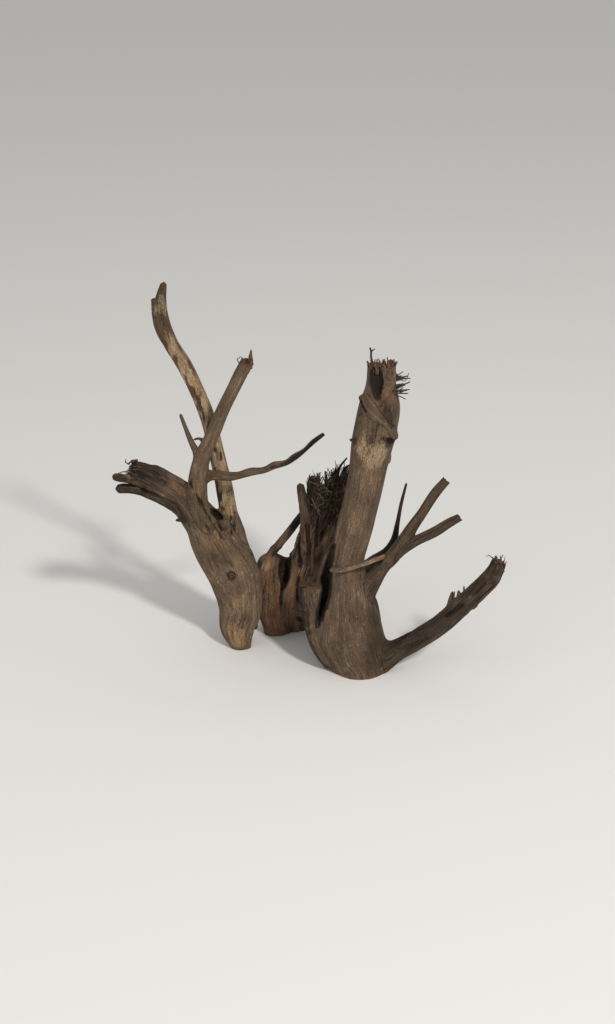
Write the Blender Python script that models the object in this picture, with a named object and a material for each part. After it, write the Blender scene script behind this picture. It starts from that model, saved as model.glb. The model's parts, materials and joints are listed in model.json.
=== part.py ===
"""A piece of driftwood: the weathered stump of a small tree that stands on its cut roots.

It grew as one piece, so it is one solid. Each stem, limb and twig is a curve with a ridged
profile, and one Boolean union grows them together. X runs to the right, Y to the back and Z up.
The origin is the middle of the main trunk's cut face, on the surface that the piece stands on.
"""
import math
import random

import bmesh
import bpy
from mathutils import Vector

MM = 0.001

# Driving dimensions, in millimetres
TRUNK_RADIUS = 20.0
TRUNK_TOP = 387.0
STUMP_RADIUS = 36.5
LEFT_FOOT = (-150.0, 62.0)
REAR_FOOT = (-82.0, 129.0)
GROUND_BLOCK = 60.0

# Torn fibres and rootlets
FIBRE_SEED = 11
CROWN_FIBRES = 20
SIDE_FIBRES = 11
ROOTLETS = 24
HOOK_SPLINTERS = 7
END_SPLINTERS = 8

# A station is x, y, z and radius. Each list runs from the root of its limb to its tip.
TRUNK = [
    (5, 0, -8, 29.5),
    (4, 2, 3, 32),
    (-2, 7, 19, STUMP_RADIUS - 1),
    (-11, 13, 49, STUMP_RADIUS),
    (-14, 15, 83, 30),
    (-14, 17, 116, 22.5),
    (-13.5, 19, 144, TRUNK_RADIUS),
    (-9.2, 21, 166, TRUNK_RADIUS),
    (-2.2, 24, 196, TRUNK_RADIUS + 0.5),
    (4.8, 27, 227, TRUNK_RADIUS + 0.9),
    (11.8, 31, 271, TRUNK_RADIUS + 2.9),
    (20, 34, 312, TRUNK_RADIUS + 4.4),
    (24.2, 38, 341, TRUNK_RADIUS + 2.8),
    (25.4, 40, 360, 18.4),
    (26, 42, TRUNK_TOP, 16.6),
]
RIGHT_LOBE = [(7, 38, -8, 25), (7, 40, 14, 24), (5, 40, 42, 22), (5.5, 40, 69, 20.5), (-1, 36, 94, 14)]
SLAB = [
    (-24, 8, 16, 22),
    (-36, 9, 30, 21.5),
    (-43, 10, 43, 21),
    (-47, 12, 57, 20.5),
    (-52, 16, 74, 18),
    (-58, 19, 90, 16),
    (-60, 22, 107, 14.5),
]
FOOT_WEB = [(0, 9, 12, 30), (-14, 8, 26, 27), (-30, 8, 40, 25), (-38, 10, 56, 19)]
SLAB_STRIP = [(-47, 28, 88, 10), (-44, 34, 116, 7.5), (-35, 39, 142, 7.5), (-27, 38, 162, 4)]
LEFT_STEM = [
    (LEFT_FOOT[0], LEFT_FOOT[1], -8, 10),
    (-151, 63, 3, 13.5),
    (-153, 66, 12, 18),
    (-155, 69, 26, 22.5),
    (-151, 73, 49, 26.5),
    (-153, 76, 73, 29.5),
    (-159, 78, 97, 31.5),
    (-172, 79, 120, 31),
    (-185, 78, 143, 28),
    (-195, 76, 166, 24),
    (-210, 73, 188, 20),
    (-225, 70, 208, 18.6),
    (-242, 66, 223, 17.8),
    (-260, 62, 235, 17),
    (-283, 56, 246, 14.3),
]
FRONT_BRANCH = [
    (-166, 78, 92, 20),
    (-178, 72, 130, 18),
    (-192.5, 66, 170, 14.5),
    (-201, 61, 200, 12.7),
    (-201, 58, 231, 12.8),
    (-196, 56, 259, 11.3),
    (-181, 52, 296, 9),
    (-168, 49, 328, 8.1),
    (-155, 46, 355, 7.7),
    (-145, 44, 376, 8),
    (-137, 42, 392, 7.6),
]
TALL_BRANCH = [
    (-156, 86, 108, 20),
    (-157, 91, 145, 14),
    (-164, 92, 174, 12),
    (-170, 90, 221, 10.6),
    (-177, 91, 252, 9.9),
    (-190, 96, 308, 9.4),
    (-202, 102, 338, 9.2),
    (-217, 108, 369, 8.9),
    (-234, 114, 396, 8.9),
    (-242, 117, 413, 10.2),
    (-245, 119, 429, 9.8),
    (-244, 122, 451, 6.8),
    (-240, 124, 470, 3.6),
]
TIP_STUB = [(-245, 117, 418, 6), (-251, 116, 436, 4.8), (-253, 115, 451, 3.4)]
THIN_BRANCH = [
    (-196, 58, 239, 8),
    (-174, 52, 243, 6),
    (-150, 45, 246, 5.2),
    (-117, 38, 257, 4.3),
    (-91, 33, 266, 3.9),
    (-68, 28, 285, 3.1),
    (-44, 23, 307, 2.2),
]
LEFT_TWIG = [(-195, 57, 260, 6.2), (-203, 54, 277, 4.2), (-208, 52, 290, 3.3), (-219, 48, 324, 1.7)]
TINY_TWIG = [(-190, 57, 283, 2.6), (-197, 60, 288, 1.9), (-205, 62, 286, 1.2)]
MIDDLE_STEM = [
    (REAR_FOOT[0], REAR_FOOT[1], -8, 19),
    (-82, 124, 12, 23),
    (-81, 117, 32, 26),
    (-72, 113, 60, 26.5),
    (-61, 108, 97, 26),
    (-52, 102, 134, 25),
    (-44, 98, 164, 23),
    (-36, 95, 190, 18.5),
    (-30, 93, 208, 13),
    (-26, 91, 222, 8),
]
MIDDLE_SKIRT = [
    (-88, 108, 13, 11),
    (-88, 106, 24, 17),
    (-87, 105, 40, 19),
    (-84, 105, 62, 19),
    (-76, 104, 96, 17),
]
MIDDLE_LOBE = [
    (-106, 105, -8, 14.5),
    (-106, 106, 10, 17),
    (-108, 106, 28, 19.5),
    (-110, 108, 54, 20.5),
    (-110, 112, 80, 21),
    (-109, 114, 93, 19.5),
    (-107, 116, 103, 15),
    (-106, 117, 109, 8),
]
SHARD = [(-60, 94, 124, 11), (-65, 87, 160, 8), (-69, 83, 191, 6), (-72, 81, 214, 5.4), (-73, 81, 221, 4.6)]
BUNDLE_CLUMP = [(-50, 96, 176, 13), (-54, 92, 200, 11.5), (-56, 89, 228, 7.5)]
TONGUE = [(-60, 88, 74, 8), (-54, 82, 100, 7), (-50, 80, 134, 5)]
SLANTING_BRANCH = [
    (-126, 110, 82, 9),
    (-112, 114, 107, 5.9),
    (-89, 120, 136, 5.2),
    (-66, 125, 165, 5),
    (-45, 108, 189, 4.6),
]
FORK_LIMB = [
    (-2, 20, 82, 17),
    (13, 14, 109, 12),
    (27, 8, 134, 8.8),
    (41, 5, 154, 8.1),
    (54, 2, 176, 7.6),
    (64, 2, 193, 6.9),
    (75, 4, 209, 6.2),
    (94, 8, 239, 5.8),
    (105, 10, 252, 5.2),
]
FORK_LOWER = [
    (38, 5, 148, 6.5),
    (52, 1, 164, 7),
    (68, -4, 177, 6.3),
    (94, -12, 195, 5.9),
    (107, -16, 206, 5.3),
    (120, -19, 215, 4.4),
]
REAR_LIMB = [
    (-7, 34, 94, 14),
    (7, 44, 116, 9.2),
    (22, 52, 126, 8),
    (38, 58, 136, 6.6),
    (46, 61, 150, 5),
    (50, 64, 171, 3.1),
    (55, 67, 200, 2.2),
    (61, 69, 226, 1.3),
]
CROSS_TWIG = [
    (-24, 14, 135, 3.4),
    (-34, 3, 136, 3),
    (-23, -5, 139, 2.8),
    (2, -9, 148, 2.4),
    (33, 3, 155, 2.6),
]
LOW_BRANCH = [
    (8, 10, 20, 24),
    (33, 3, 14, 18),
    (51, 2, 25, 13.8),
    (68, -2, 38, 13.2),
    (102, -9, 66, 13),
    (116, -12, 81, 12.8),
    (133, -15, 100, 12.1),
    (149, -18, 119, 11.4),
    (163, -20, 137, 10.8),
    (171, -22, 157, 9.2),
]
STUBS = {
    "stub_straight": [(113, -9, 82, 4), (115, -3, 100, 2.6), (117, 0, 108, 1.4)],
    "stub_flap": [(122, -12, 92, 6), (129, -8, 104, 4.6), (134, -6, 114, 1.8)],
    "stub_nub": [(138, -17, 104, 6), (143, -19, 95, 3.8)],
    "trunk_thorn": [(2, 31, 296, 4), (-9, 25, 298, 2.6), (-13, 24, 300, 1.3)],
    "crotch_knob": [(-172, 84, 158, 9), (-169, 72, 164, 8.5), (-168, 63, 166, 6)],
    "stem_bump": [(-146, 84, 122, 10), (-138, 82, 130, 5)],
    "stem_nub": [(-152, 76, 25, 8), (-139, 86, 19, 6), (-129, 92, 14, 3.6)],
    "left_flap": [(-212, 62, 186, 6), (-222, 58, 181, 3.6), (-230, 54, 181, 1.4)],
}
# The crown is the low web of old root that ties the stems together just above the ground.
CROWN_WEB = [
    (-150, 84, 54, 21),
    (-128, 106, 50, 18),
    (-104, 118, 46, 20),
    (-78, 120, 44, 24),
    (-52, 94, 46, 26),
    (-26, 60, 46, 27),
    (0, 32, 46, 26),
]
LEFT_SHOULDER = [(-152, 84, 92, 20), (-130, 100, 78, 13), (-108, 112, 72, 16)]
RIGHT_SHOULDER = [(-6, 34, 88, 20), (-30, 58, 95, 18), (-48, 84, 66, 17), (-66, 104, 62, 18)]
LONG_ROOTLETS = [
    [(-32, 92, 205, 2.2), (-26, 90, 232, 1.8), (-21, 87, 244, 1.5), (-14, 84, 254, 0.9)],
    [(-30, 94, 205, 2.2), (-22, 92, 224, 1.8), (-17, 90, 238, 1.4), (-9, 88, 244, 0.9)],
    [(-34, 90, 208, 2.4), (-37, 87, 228, 2.0), (-40, 86, 244, 1.2)],
    [(-28, 96, 200, 2.4), (-19, 96, 216, 1.8), (-12, 94, 224, 1.0)],
]
BAND = [
    (2, 28, 354, 4.8),
    (7, 22.5, 347, 7),
    (16, 19.5, 337, 8.2),
    (27, 19.5, 324, 8.4),
    (36, 22, 312, 7.6),
    (43, 26, 301, 4.6),
]
RIM_RIDGE = [(22, 20, 345, 5), (29, 25, 362, 7.5), (35, 29, 376, 8), (36, 31, 389, 6)]
HOLLOW = [(14, 17, 404, 10.5), (14.5, 20, 384, 10), (16.5, 21, 367, 7), (18, 20, 354, 2.5)]
HOLLOW_TONGUE = [(8, 30, 362, 5.5), (11, 27, 374, 4.6), (15, 28, 386, 2.5)]
HOOK_PRONG_UPPER = [(-266, 55, 241, 7), (-283, 48, 240, 5), (-296, 44, 242, 5), (-304, 42, 245, 4.6)]
HOOK_PRONG_LOWER = [
    (-229, 62, 197, 7),
    (-258, 56, 215, 6.4),
    (-279, 50, 224, 5.8),
    (-292, 47, 227, 5.7),
    (-301, 45, 227, 5.2),
]
TALL_FIBRE = [(14, 38, 376, 1.8), (14, 38, 393, 1.3), (12, 38, 402, 1.0), (13, 38, 411, 0.7)]
FRONT_SPIKE = [(-134, 43, 384, 4), (-132, 42, 397, 2.6), (-131, 41, 408, 1.1)]


def clear_scene():
    for old in list(bpy.data.objects):
        bpy.data.objects.remove(old, do_unlink=True)


def new_collection(name):
    collection = bpy.data.collections.new(name)
    bpy.context.scene.collection.children.link(collection)
    return collection


def wood_material():
    material = bpy.data.materials.new("weathered_wood")
    material.use_nodes = True
    shader = material.node_tree.nodes["Principled BSDF"]
    shader.inputs["Base Color"].default_value = (0.128, 0.088, 0.060, 1.0)
    shader.inputs["Roughness"].default_value = 0.85
    shader.inputs["Metallic"].default_value = 0.0
    return material


def ridged_profile(name, sides, ridges, collection):
    """A closed outline of radius 1 m. Each ridge is its count round the limb, height and phase."""
    curve = bpy.data.curves.new(name, "CURVE")
    curve.dimensions = "2D"
    spline = curve.splines.new("POLY")
    spline.points.add(sides - 1)
    for index, point in enumerate(spline.points):
        angle = 2 * math.pi * index / sides
        radius = 1.0 + sum(height * math.cos(count * angle + phase) for count, height, phase in ridges)
        point.co = (radius * math.cos(angle), radius * math.sin(angle), 0.0, 1.0)
    spline.use_cyclic_u = True
    guide = bpy.data.objects.new(name, curve)
    guide.hide_render = True
    guide.display_type = "WIRE"
    collection.objects.link(guide)
    return guide


def mesh_from(guide, collection):
    """Turns a curve object into a closed mesh object with welded caps."""
    bpy.context.view_layer.update()
    evaluated = guide.evaluated_get(bpy.context.evaluated_depsgraph_get())
    mesh = bpy.data.meshes.new_from_object(evaluated)
    work = bmesh.new()
    work.from_mesh(mesh)
    bmesh.ops.remove_doubles(work, verts=work.verts, dist=0.00001)
    bmesh.ops.triangulate(work, faces=work.faces)
    bmesh.ops.recalc_face_normals(work, faces=work.faces)
    work.to_mesh(mesh)
    work.free()
    name, place = guide.name, guide.matrix_world.copy()
    bpy.data.objects.remove(guide, do_unlink=True)
    solid = bpy.data.objects.new(name, mesh)
    solid.matrix_world = place
    collection.objects.link(solid)
    return solid


def limb(name, stations, profile, collection, steps=2, turn=0.0):
    """One stem or twig: a smooth curve through its stations, thick as their radii say."""
    curve = bpy.data.curves.new(name, "CURVE")
    curve.dimensions = "3D"
    curve.resolution_u = steps
    curve.render_resolution_u = steps
    curve.bevel_mode = "OBJECT"
    curve.bevel_object = profile
    curve.use_fill_caps = True
    spline = curve.splines.new("BEZIER")
    spline.bezier_points.add(len(stations) - 1)
    for index, (point, (x, y, z, radius)) in enumerate(zip(spline.bezier_points, stations)):
        point.co = Vector((x, y, z)) * MM
        point.radius = radius * MM
        point.tilt = turn * index / len(stations)
        point.handle_left_type = "AUTO"
        point.handle_right_type = "AUTO"
    guide = bpy.data.objects.new(name, curve)
    collection.objects.link(guide)
    return mesh_from(guide, collection)


def fibre(name, points, thickness, collection):
    """One torn fibre or rootlet: a four-sided tube that thins towards its tip."""
    curve = bpy.data.curves.new(name, "CURVE")
    curve.dimensions = "3D"
    curve.bevel_depth = thickness * MM
    curve.bevel_resolution = 0
    curve.use_fill_caps = True
    spline = curve.splines.new("POLY")
    spline.points.add(len(points) - 1)
    for index, (point, place) in enumerate(zip(spline.points, points)):
        point.co = (*(place * MM), 1.0)
        point.radius = 1.0 - 0.65 * index / (len(points) - 1)
    guide = bpy.data.objects.new(name, curve)
    collection.objects.link(guide)
    return mesh_from(guide, collection)


def curled(draw, root, direction, length, curl):
    """Three points of a fibre that leaves its root in a direction and bends a little on the way."""
    side = Vector((draw.uniform(-1, 1), draw.uniform(-1, 1), draw.uniform(-1, 1)))
    side -= side.project(direction)
    middle = root + direction * length * 0.55 + side * curl * 0.5
    return [root, middle, root + direction * length - side * curl]


def crown_fibres(draw, collection):
    """Short bristles that stand up round the torn top of the trunk."""
    centre = Vector(TRUNK[-1][:3])
    rim = TRUNK[-1][3]
    for index in range(CROWN_FIBRES):
        angle = 2 * math.pi * (index + draw.uniform(-0.3, 0.3)) / CROWN_FIBRES
        out = Vector((math.cos(angle), math.sin(angle), 0))
        root = centre + out * rim * draw.uniform(0.55, 0.85) - Vector((0, 0, 9))
        direction = (Vector((0, 0, 1)) + out * draw.uniform(0.0, 0.35)).normalized()
        fibre(f"crown_fibre_{index}", curled(draw, root, direction, draw.uniform(13, 22), 2.5),
              draw.uniform(1.0, 1.7), collection)


def side_fibres(draw, collection):
    """A frayed tuft that sticks out on the right of the trunk's top."""
    for index in range(SIDE_FIBRES):
        height = 345 + 36 * index / (SIDE_FIBRES - 1)
        root = Vector((33, 38 + draw.uniform(-8, 8), height))
        direction = Vector((1, draw.uniform(-0.6, 0.4), draw.uniform(-0.2, 0.35))).normalized()
        fibre(f"side_fibre_{index}", curled(draw, root, direction, draw.uniform(20, 30), 2.5),
              draw.uniform(0.9, 1.5), collection)


def rootlets(draw, collection):
    """The dark tangle of rootlets and splinters that ends the middle stem."""
    for index in range(ROOTLETS):
        head = BUNDLE_CLUMP if index % 3 == 0 else MIDDLE_STEM
        low, high = Vector(head[-3][:3]), Vector(head[-1][:3])
        axis = (high - low).normalized()
        across = axis.cross(Vector((0, -1, 0))).normalized()
        outward = across.cross(axis)
        along = draw.uniform(0.35, 1.0)
        angle = draw.uniform(0, 2 * math.pi)
        reach = head[-1][3] * draw.uniform(0.4, 0.9)
        out = across * math.cos(angle) + outward * math.sin(angle)
        root = low.lerp(high, along) + out * reach
        direction = (axis + out * draw.uniform(0.05, 0.5)).normalized()
        length = draw.uniform(18, 30) + 8 * math.cos(angle)
        points = curled(draw, root, direction, length, 5)
        fibre(f"rootlet_{index}", points, draw.uniform(1.0, 2.1), collection)


def splinters(draw, name, count, end, direction, spread, collection):
    """Short splinters round a torn end."""
    across = direction.orthogonal().normalized()
    other = direction.cross(across)
    radius = end[3]
    for index in range(count):
        angle = 2 * math.pi * index / count + draw.uniform(-0.3, 0.3)
        out = across * math.cos(angle) + other * math.sin(angle)
        root = Vector(end[:3]) + out * radius * 0.7 - direction * 5
        aim = (direction + out * draw.uniform(0, spread)).normalized()
        points = curled(draw, root, aim, draw.uniform(9, 15), 2)
        fibre(f"{name}_{index}", points, draw.uniform(1.0, 1.8), collection)


def unite(base, others):
    """Grows the collection's solids into the base, and removes them."""
    union = base.modifiers.new("grown_together", "BOOLEAN")
    union.operation = "UNION"
    union.operand_type = "COLLECTION"
    union.collection = others
    union.solver = "EXACT"
    apply_modifiers(base)
    for solid in list(others.objects):
        bpy.data.objects.remove(solid, do_unlink=True)


def cut(base, cutter):
    """Takes the cutter's shape out of the base."""
    difference = base.modifiers.new(cutter.name, "BOOLEAN")
    difference.operation = "DIFFERENCE"
    difference.object = cutter
    difference.solver = "EXACT"
    apply_modifiers(base)
    cutter.hide_render = True
    cutter.display_type = "WIRE"


def apply_modifiers(solid):
    bpy.context.view_layer.update()
    evaluated = solid.evaluated_get(bpy.context.evaluated_depsgraph_get())
    mesh = bpy.data.meshes.new_from_object(evaluated)
    solid.modifiers.clear()
    old = solid.data
    solid.data = mesh
    bpy.data.meshes.remove(old)


def ground_block(collection):
    """The block below the ground, which saws the roots off flat."""
    mesh = bpy.data.meshes.new("ground_block")
    work = bmesh.new()
    bmesh.ops.create_cube(work, size=1.0)
    work.to_mesh(mesh)
    work.free()
    block = bpy.data.objects.new("ground_block", mesh)
    block.scale = (1.0, 1.0, GROUND_BLOCK * MM)
    block.location = (0.0, 0.0, -GROUND_BLOCK * MM / 2)
    collection.objects.link(block)
    return block


def keep_largest(mesh):
    """Drops loose scraps that a cut may leave."""
    work = bmesh.new()
    work.from_mesh(mesh)
    left = set(work.verts)
    groups = []
    while left:
        reached = [left.pop()]
        group = []
        while reached:
            vertex = reached.pop()
            group.append(vertex)
            for edge in vertex.link_edges:
                other = edge.other_vert(vertex)
                if other in left:
                    left.remove(other)
                    reached.append(other)
        groups.append(group)
    groups.sort(key=len)
    for group in groups[:-1]:
        bmesh.ops.delete(work, geom=group, context="VERTS")
    work.to_mesh(mesh)
    work.free()


def build():
    clear_scene()
    driftwood = new_collection("driftwood")
    cutters = new_collection("cutters")
    limbs = new_collection("limbs")
    draw = random.Random(FIBRE_SEED)

    stem = ridged_profile("stem_profile", 15, [(2, 0.05, 0.4), (3, 0.06, 1.1), (5, 0.05, 2.0)], cutters)
    branch = ridged_profile("branch_profile", 10, [(2, 0.06, 0.9), (3, 0.07, 0.2)], cutters)
    twig = ridged_profile("twig_profile", 6, [(2, 0.06, 0.3)], cutters)
    plank = ridged_profile("plank_profile", 12, [(4, -0.12, 0.0), (2, 0.08, 0.5)], cutters)

    body = limb("driftwood", TRUNK, stem, driftwood, turn=0.9)
    limb("left_stem", LEFT_STEM, stem, limbs, turn=-0.7)
    limb("middle_stem", MIDDLE_STEM, stem, limbs, turn=0.5)
    limb("crown_web", CROWN_WEB, stem, limbs, turn=0.8)
    limb("low_branch", LOW_BRANCH, branch, limbs, turn=0.8)
    for name, stations in {
        "right_lobe": RIGHT_LOBE, "middle_lobe": MIDDLE_LOBE, "front_branch": FRONT_BRANCH,
        "tall_branch": TALL_BRANCH, "fork_limb": FORK_LIMB, "fork_lower": FORK_LOWER,
        "rear_limb": REAR_LIMB, "shard": SHARD, "band": BAND,
        "bundle_clump": BUNDLE_CLUMP, "left_shoulder": LEFT_SHOULDER, "right_shoulder": RIGHT_SHOULDER,
        "foot_web": FOOT_WEB, "middle_skirt": MIDDLE_SKIRT,
    }.items():
        limb(name, stations, branch, limbs, turn=0.4)
    for name, stations in {"slab": SLAB, "slab_strip": SLAB_STRIP, "tongue": TONGUE}.items():
        limb(name, stations, plank, limbs)
    for name, stations in {
        "thin_branch": THIN_BRANCH, "left_twig": LEFT_TWIG, "tiny_twig": TINY_TWIG, "tip_stub": TIP_STUB,
        "slanting_branch": SLANTING_BRANCH, "cross_twig": CROSS_TWIG, "rim_ridge": RIM_RIDGE,
        "hook_prong_upper": HOOK_PRONG_UPPER, "hook_prong_lower": HOOK_PRONG_LOWER,
        "front_spike": FRONT_SPIKE, **STUBS,
    }.items():
        limb(name, stations, twig, limbs)
    unite(body, limbs)
    cut(body, limb("hollow", HOLLOW, branch, cutters))
    cut(body, ground_block(cutters))

    limb("hollow_tongue", HOLLOW_TONGUE, twig, limbs)
    limb("tall_fibre", TALL_FIBRE, twig, limbs)
    for index, stations in enumerate(LONG_ROOTLETS):
        limb(f"long_rootlet_{index}", stations, twig, limbs, steps=1)
    crown_fibres(draw, limbs)
    side_fibres(draw, limbs)
    rootlets(draw, limbs)
    hook_way = Vector((-0.97, -0.2, 0.15)).normalized()
    splinters(draw, "hook_splinter", HOOK_SPLINTERS, LEFT_STEM[-1], hook_way, 0.5, limbs)
    end_way = Vector((0.1, -0.05, 0.99)).normalized()
    splinters(draw, "end_splinter", END_SPLINTERS, LOW_BRANCH[-1], end_way, 0.6, limbs)
    unite(body, limbs)
    keep_largest(body.data)
    body.data.materials.clear()
    body.data.materials.append(wood_material())
    bpy.data.collections.remove(limbs)


build()
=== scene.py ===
# %% [markdown]
# # A piece of driftwood
# A stump that stood in water and sun for years: bark gone, soft wood worn away, hard grain left as
# ridges, and every break frayed into fibres. This lesson dresses the plain solid with that surface.
# The frame gives the solid. Everything that is made here sits where the solid sits.

# %% Load the frame
import json
import math
import random

import bmesh
import bpy
import numpy as np
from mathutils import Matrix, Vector

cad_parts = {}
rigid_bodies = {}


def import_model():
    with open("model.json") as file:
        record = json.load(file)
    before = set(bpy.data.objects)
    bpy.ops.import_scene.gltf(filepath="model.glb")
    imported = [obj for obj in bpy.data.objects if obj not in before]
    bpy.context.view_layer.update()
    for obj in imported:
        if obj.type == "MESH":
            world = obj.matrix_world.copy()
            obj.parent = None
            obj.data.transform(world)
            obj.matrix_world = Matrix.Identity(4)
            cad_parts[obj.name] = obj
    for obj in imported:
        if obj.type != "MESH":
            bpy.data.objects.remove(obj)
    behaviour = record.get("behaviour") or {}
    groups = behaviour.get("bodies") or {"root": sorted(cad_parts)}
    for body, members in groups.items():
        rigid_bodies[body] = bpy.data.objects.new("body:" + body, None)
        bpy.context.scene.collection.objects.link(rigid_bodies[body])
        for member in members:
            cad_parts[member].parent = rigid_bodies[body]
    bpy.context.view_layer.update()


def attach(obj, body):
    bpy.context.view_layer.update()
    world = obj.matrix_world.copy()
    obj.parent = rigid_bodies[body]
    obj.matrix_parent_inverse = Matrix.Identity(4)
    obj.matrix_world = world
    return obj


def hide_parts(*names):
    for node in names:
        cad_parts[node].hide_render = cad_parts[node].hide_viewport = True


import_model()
MM = 0.001

# %% [markdown]
# ## Camera
# The photograph looks down on the stump by about 22 degrees. A wide lens close by could show the same
# view, but the stems would lean apart. A long lens from two metres away keeps them upright.

# %% Camera
CAMERA_ELEVATION = math.radians(22.0)
CAMERA_DISTANCE = 2.0
CAMERA_TARGET = Vector((-0.0636, 0.060, 0.1902))
CAMERA_LENS = 55.8
SENSOR = 36.0


def add_camera():
    data = bpy.data.cameras.new("camera")
    data.lens = CAMERA_LENS
    data.sensor_width = SENSOR
    camera = bpy.data.objects.new("camera", data)
    back = Vector((0.0, -math.cos(CAMERA_ELEVATION), math.sin(CAMERA_ELEVATION)))
    camera.location = CAMERA_TARGET + back * CAMERA_DISTANCE
    camera.rotation_euler = (math.pi / 2 - CAMERA_ELEVATION, 0.0, 0.0)
    bpy.context.scene.collection.objects.link(camera)
    bpy.context.scene.camera = camera
    return camera


camera = add_camera()
print("camera stands at", [round(value, 3) for value in camera.location])

# %% [markdown]
# ## Floor and light
# Old wood wants one soft lamp high on the front right, a weak one on the left and a pale sky, so that
# every furrow shows as a thin dark line. A picture of a sky could light it too, but lamps are simple
# to move. The floor is plain, so that nothing competes with the wood.

# %% Floor and lamps
FLOOR_SIZE = 80.0
FLOOR_TONE = (0.80, 0.80, 0.79, 1.0)
FLOOR_ROUGHNESS = 0.9
SKY_TONE = (1.0, 0.985, 0.96, 1.0)
SKY_STRENGTH = 0.52
LAMPS = {
    # place and size in metres, power in watts, and tone
    "key_lamp": ((1.7, -3.2, 3.3), 0.5, 138.0, (1.0, 0.955, 0.89)),
    "fill_lamp": ((-2.2, -1.8, 1.3), 1.8, 10.0, (0.93, 0.96, 1.0)),
}


def add_floor():
    mesh = bpy.data.meshes.new("floor")
    work = bmesh.new()
    bmesh.ops.create_grid(work, x_segments=1, y_segments=1, size=FLOOR_SIZE / 2)
    work.to_mesh(mesh)
    work.free()
    floor = bpy.data.objects.new("floor", mesh)
    bpy.context.scene.collection.objects.link(floor)
    material = bpy.data.materials.new("pale_floor")
    material.use_nodes = True
    shader = material.node_tree.nodes["Principled BSDF"]
    shader.inputs["Base Color"].default_value = FLOOR_TONE
    shader.inputs["Roughness"].default_value = FLOOR_ROUGHNESS
    mesh.materials.append(material)


def add_lamp(name, place, size, power, tone):
    data = bpy.data.lights.new(name, "AREA")
    data.shape = "DISK"
    data.size = size
    data.energy = power
    data.color = tone
    lamp = bpy.data.objects.new(name, data)
    lamp.location = place
    aim = CAMERA_TARGET - Vector(place)
    lamp.rotation_euler = aim.to_track_quat("-Z", "Y").to_euler()
    bpy.context.scene.collection.objects.link(lamp)


def add_sky():
    world = bpy.data.worlds.new("studio")
    world.use_nodes = True
    sky = world.node_tree.nodes["Background"]
    sky.inputs["Color"].default_value = SKY_TONE
    sky.inputs["Strength"].default_value = SKY_STRENGTH
    bpy.context.scene.world = world
    bpy.context.scene.view_settings.view_transform = "Standard"


add_floor()
for name, values in LAMPS.items():
    add_lamp(name, *values)
add_sky()
print(len(LAMPS), "lamps, a pale sky and a pale floor are set")

# %% [markdown]
# ## The limbs
# Each limb is a list of stations along its heart: x, y, z and radius in millimetres. They are the
# same stations that the solid is made from, so the fine wood lies exactly over it. A sculpted mesh
# would also do, but then nothing would know which way the grain runs.

# %% Stations of the large limbs
FINE_LIMBS = {
    "trunk": [
        (5, 0, -8, 29.5), (4, 2, 3, 32), (-2, 7, 19, 35.5), (-11, 13, 49, 36.5), (-14, 15, 83, 30),
        (-14, 17, 116, 22.5), (-13.5, 19, 144, 20), (-9.2, 21, 166, 20), (-2.2, 24, 196, 20.5),
        (4.8, 27, 227, 20.9), (11.8, 31, 271, 22.9), (20, 34, 312, 24.4), (24.2, 38, 341, 22.8),
        (25.4, 40, 360, 18.4), (26, 42, 387, 16.6),
    ],
    "left_stem": [
        (-150, 62, -8, 10), (-151, 63, 3, 13.5), (-153, 66, 12, 18), (-155, 69, 26, 22.5),
        (-151, 73, 49, 26.5), (-153, 76, 73, 29.5), (-159, 78, 97, 31.5), (-172, 79, 120, 31),
        (-185, 78, 143, 28), (-195, 76, 166, 24), (-210, 73, 188, 20), (-225, 70, 208, 18.6),
        (-242, 66, 223, 17.8), (-260, 62, 235, 17), (-283, 56, 246, 14.3),
    ],
    "middle_stem": [
        (-82, 129, -8, 19), (-82, 124, 12, 23), (-81, 117, 32, 26), (-72, 113, 60, 26.5),
        (-61, 108, 97, 26), (-52, 102, 134, 25), (-44, 98, 164, 23), (-36, 95, 190, 18.5),
        (-30, 93, 208, 13), (-26, 91, 222, 8),
    ],
    "low_branch": [
        (8, 10, 20, 24), (33, 3, 14, 18), (51, 2, 25, 13.8), (68, -2, 38, 13.2), (102, -9, 66, 13),
        (116, -12, 81, 12.8), (133, -15, 100, 12.1), (149, -18, 119, 11.4), (163, -20, 137, 10.8),
        (171, -22, 157, 9.2),
    ],
    "front_branch": [
        (-166, 78, 92, 20), (-178, 72, 130, 18), (-192.5, 66, 170, 14.5), (-201, 61, 200, 12.7),
        (-201, 58, 231, 12.8), (-196, 56, 259, 11.3), (-181, 52, 296, 9), (-168, 49, 328, 8.1),
        (-155, 46, 355, 7.7), (-145, 44, 376, 8), (-137, 42, 392, 7.6),
    ],
    "tall_branch": [
        (-156, 86, 108, 20), (-157, 91, 145, 14), (-164, 92, 174, 12), (-170, 90, 221, 10.6),
        (-177, 91, 252, 9.9), (-190, 96, 308, 9.4), (-202, 102, 338, 9.2), (-217, 108, 369, 8.9),
        (-234, 114, 396, 8.9), (-242, 117, 413, 10.2), (-245, 119, 429, 9.8), (-244, 122, 451, 6.8),
        (-240, 124, 470, 3.6),
    ],
}
print(len(FINE_LIMBS), "large limbs")

# %% [markdown]
# ## Lobes, twigs and stubs
# Lobes are old swellings of the root, webs tie the stems together, and stubs are what is left of
# broken twigs. They could be carved out of the large limbs, but as limbs of their own they keep their
# own grain. Each list starts well inside its parent, so that no gap is left at the joint.

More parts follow.
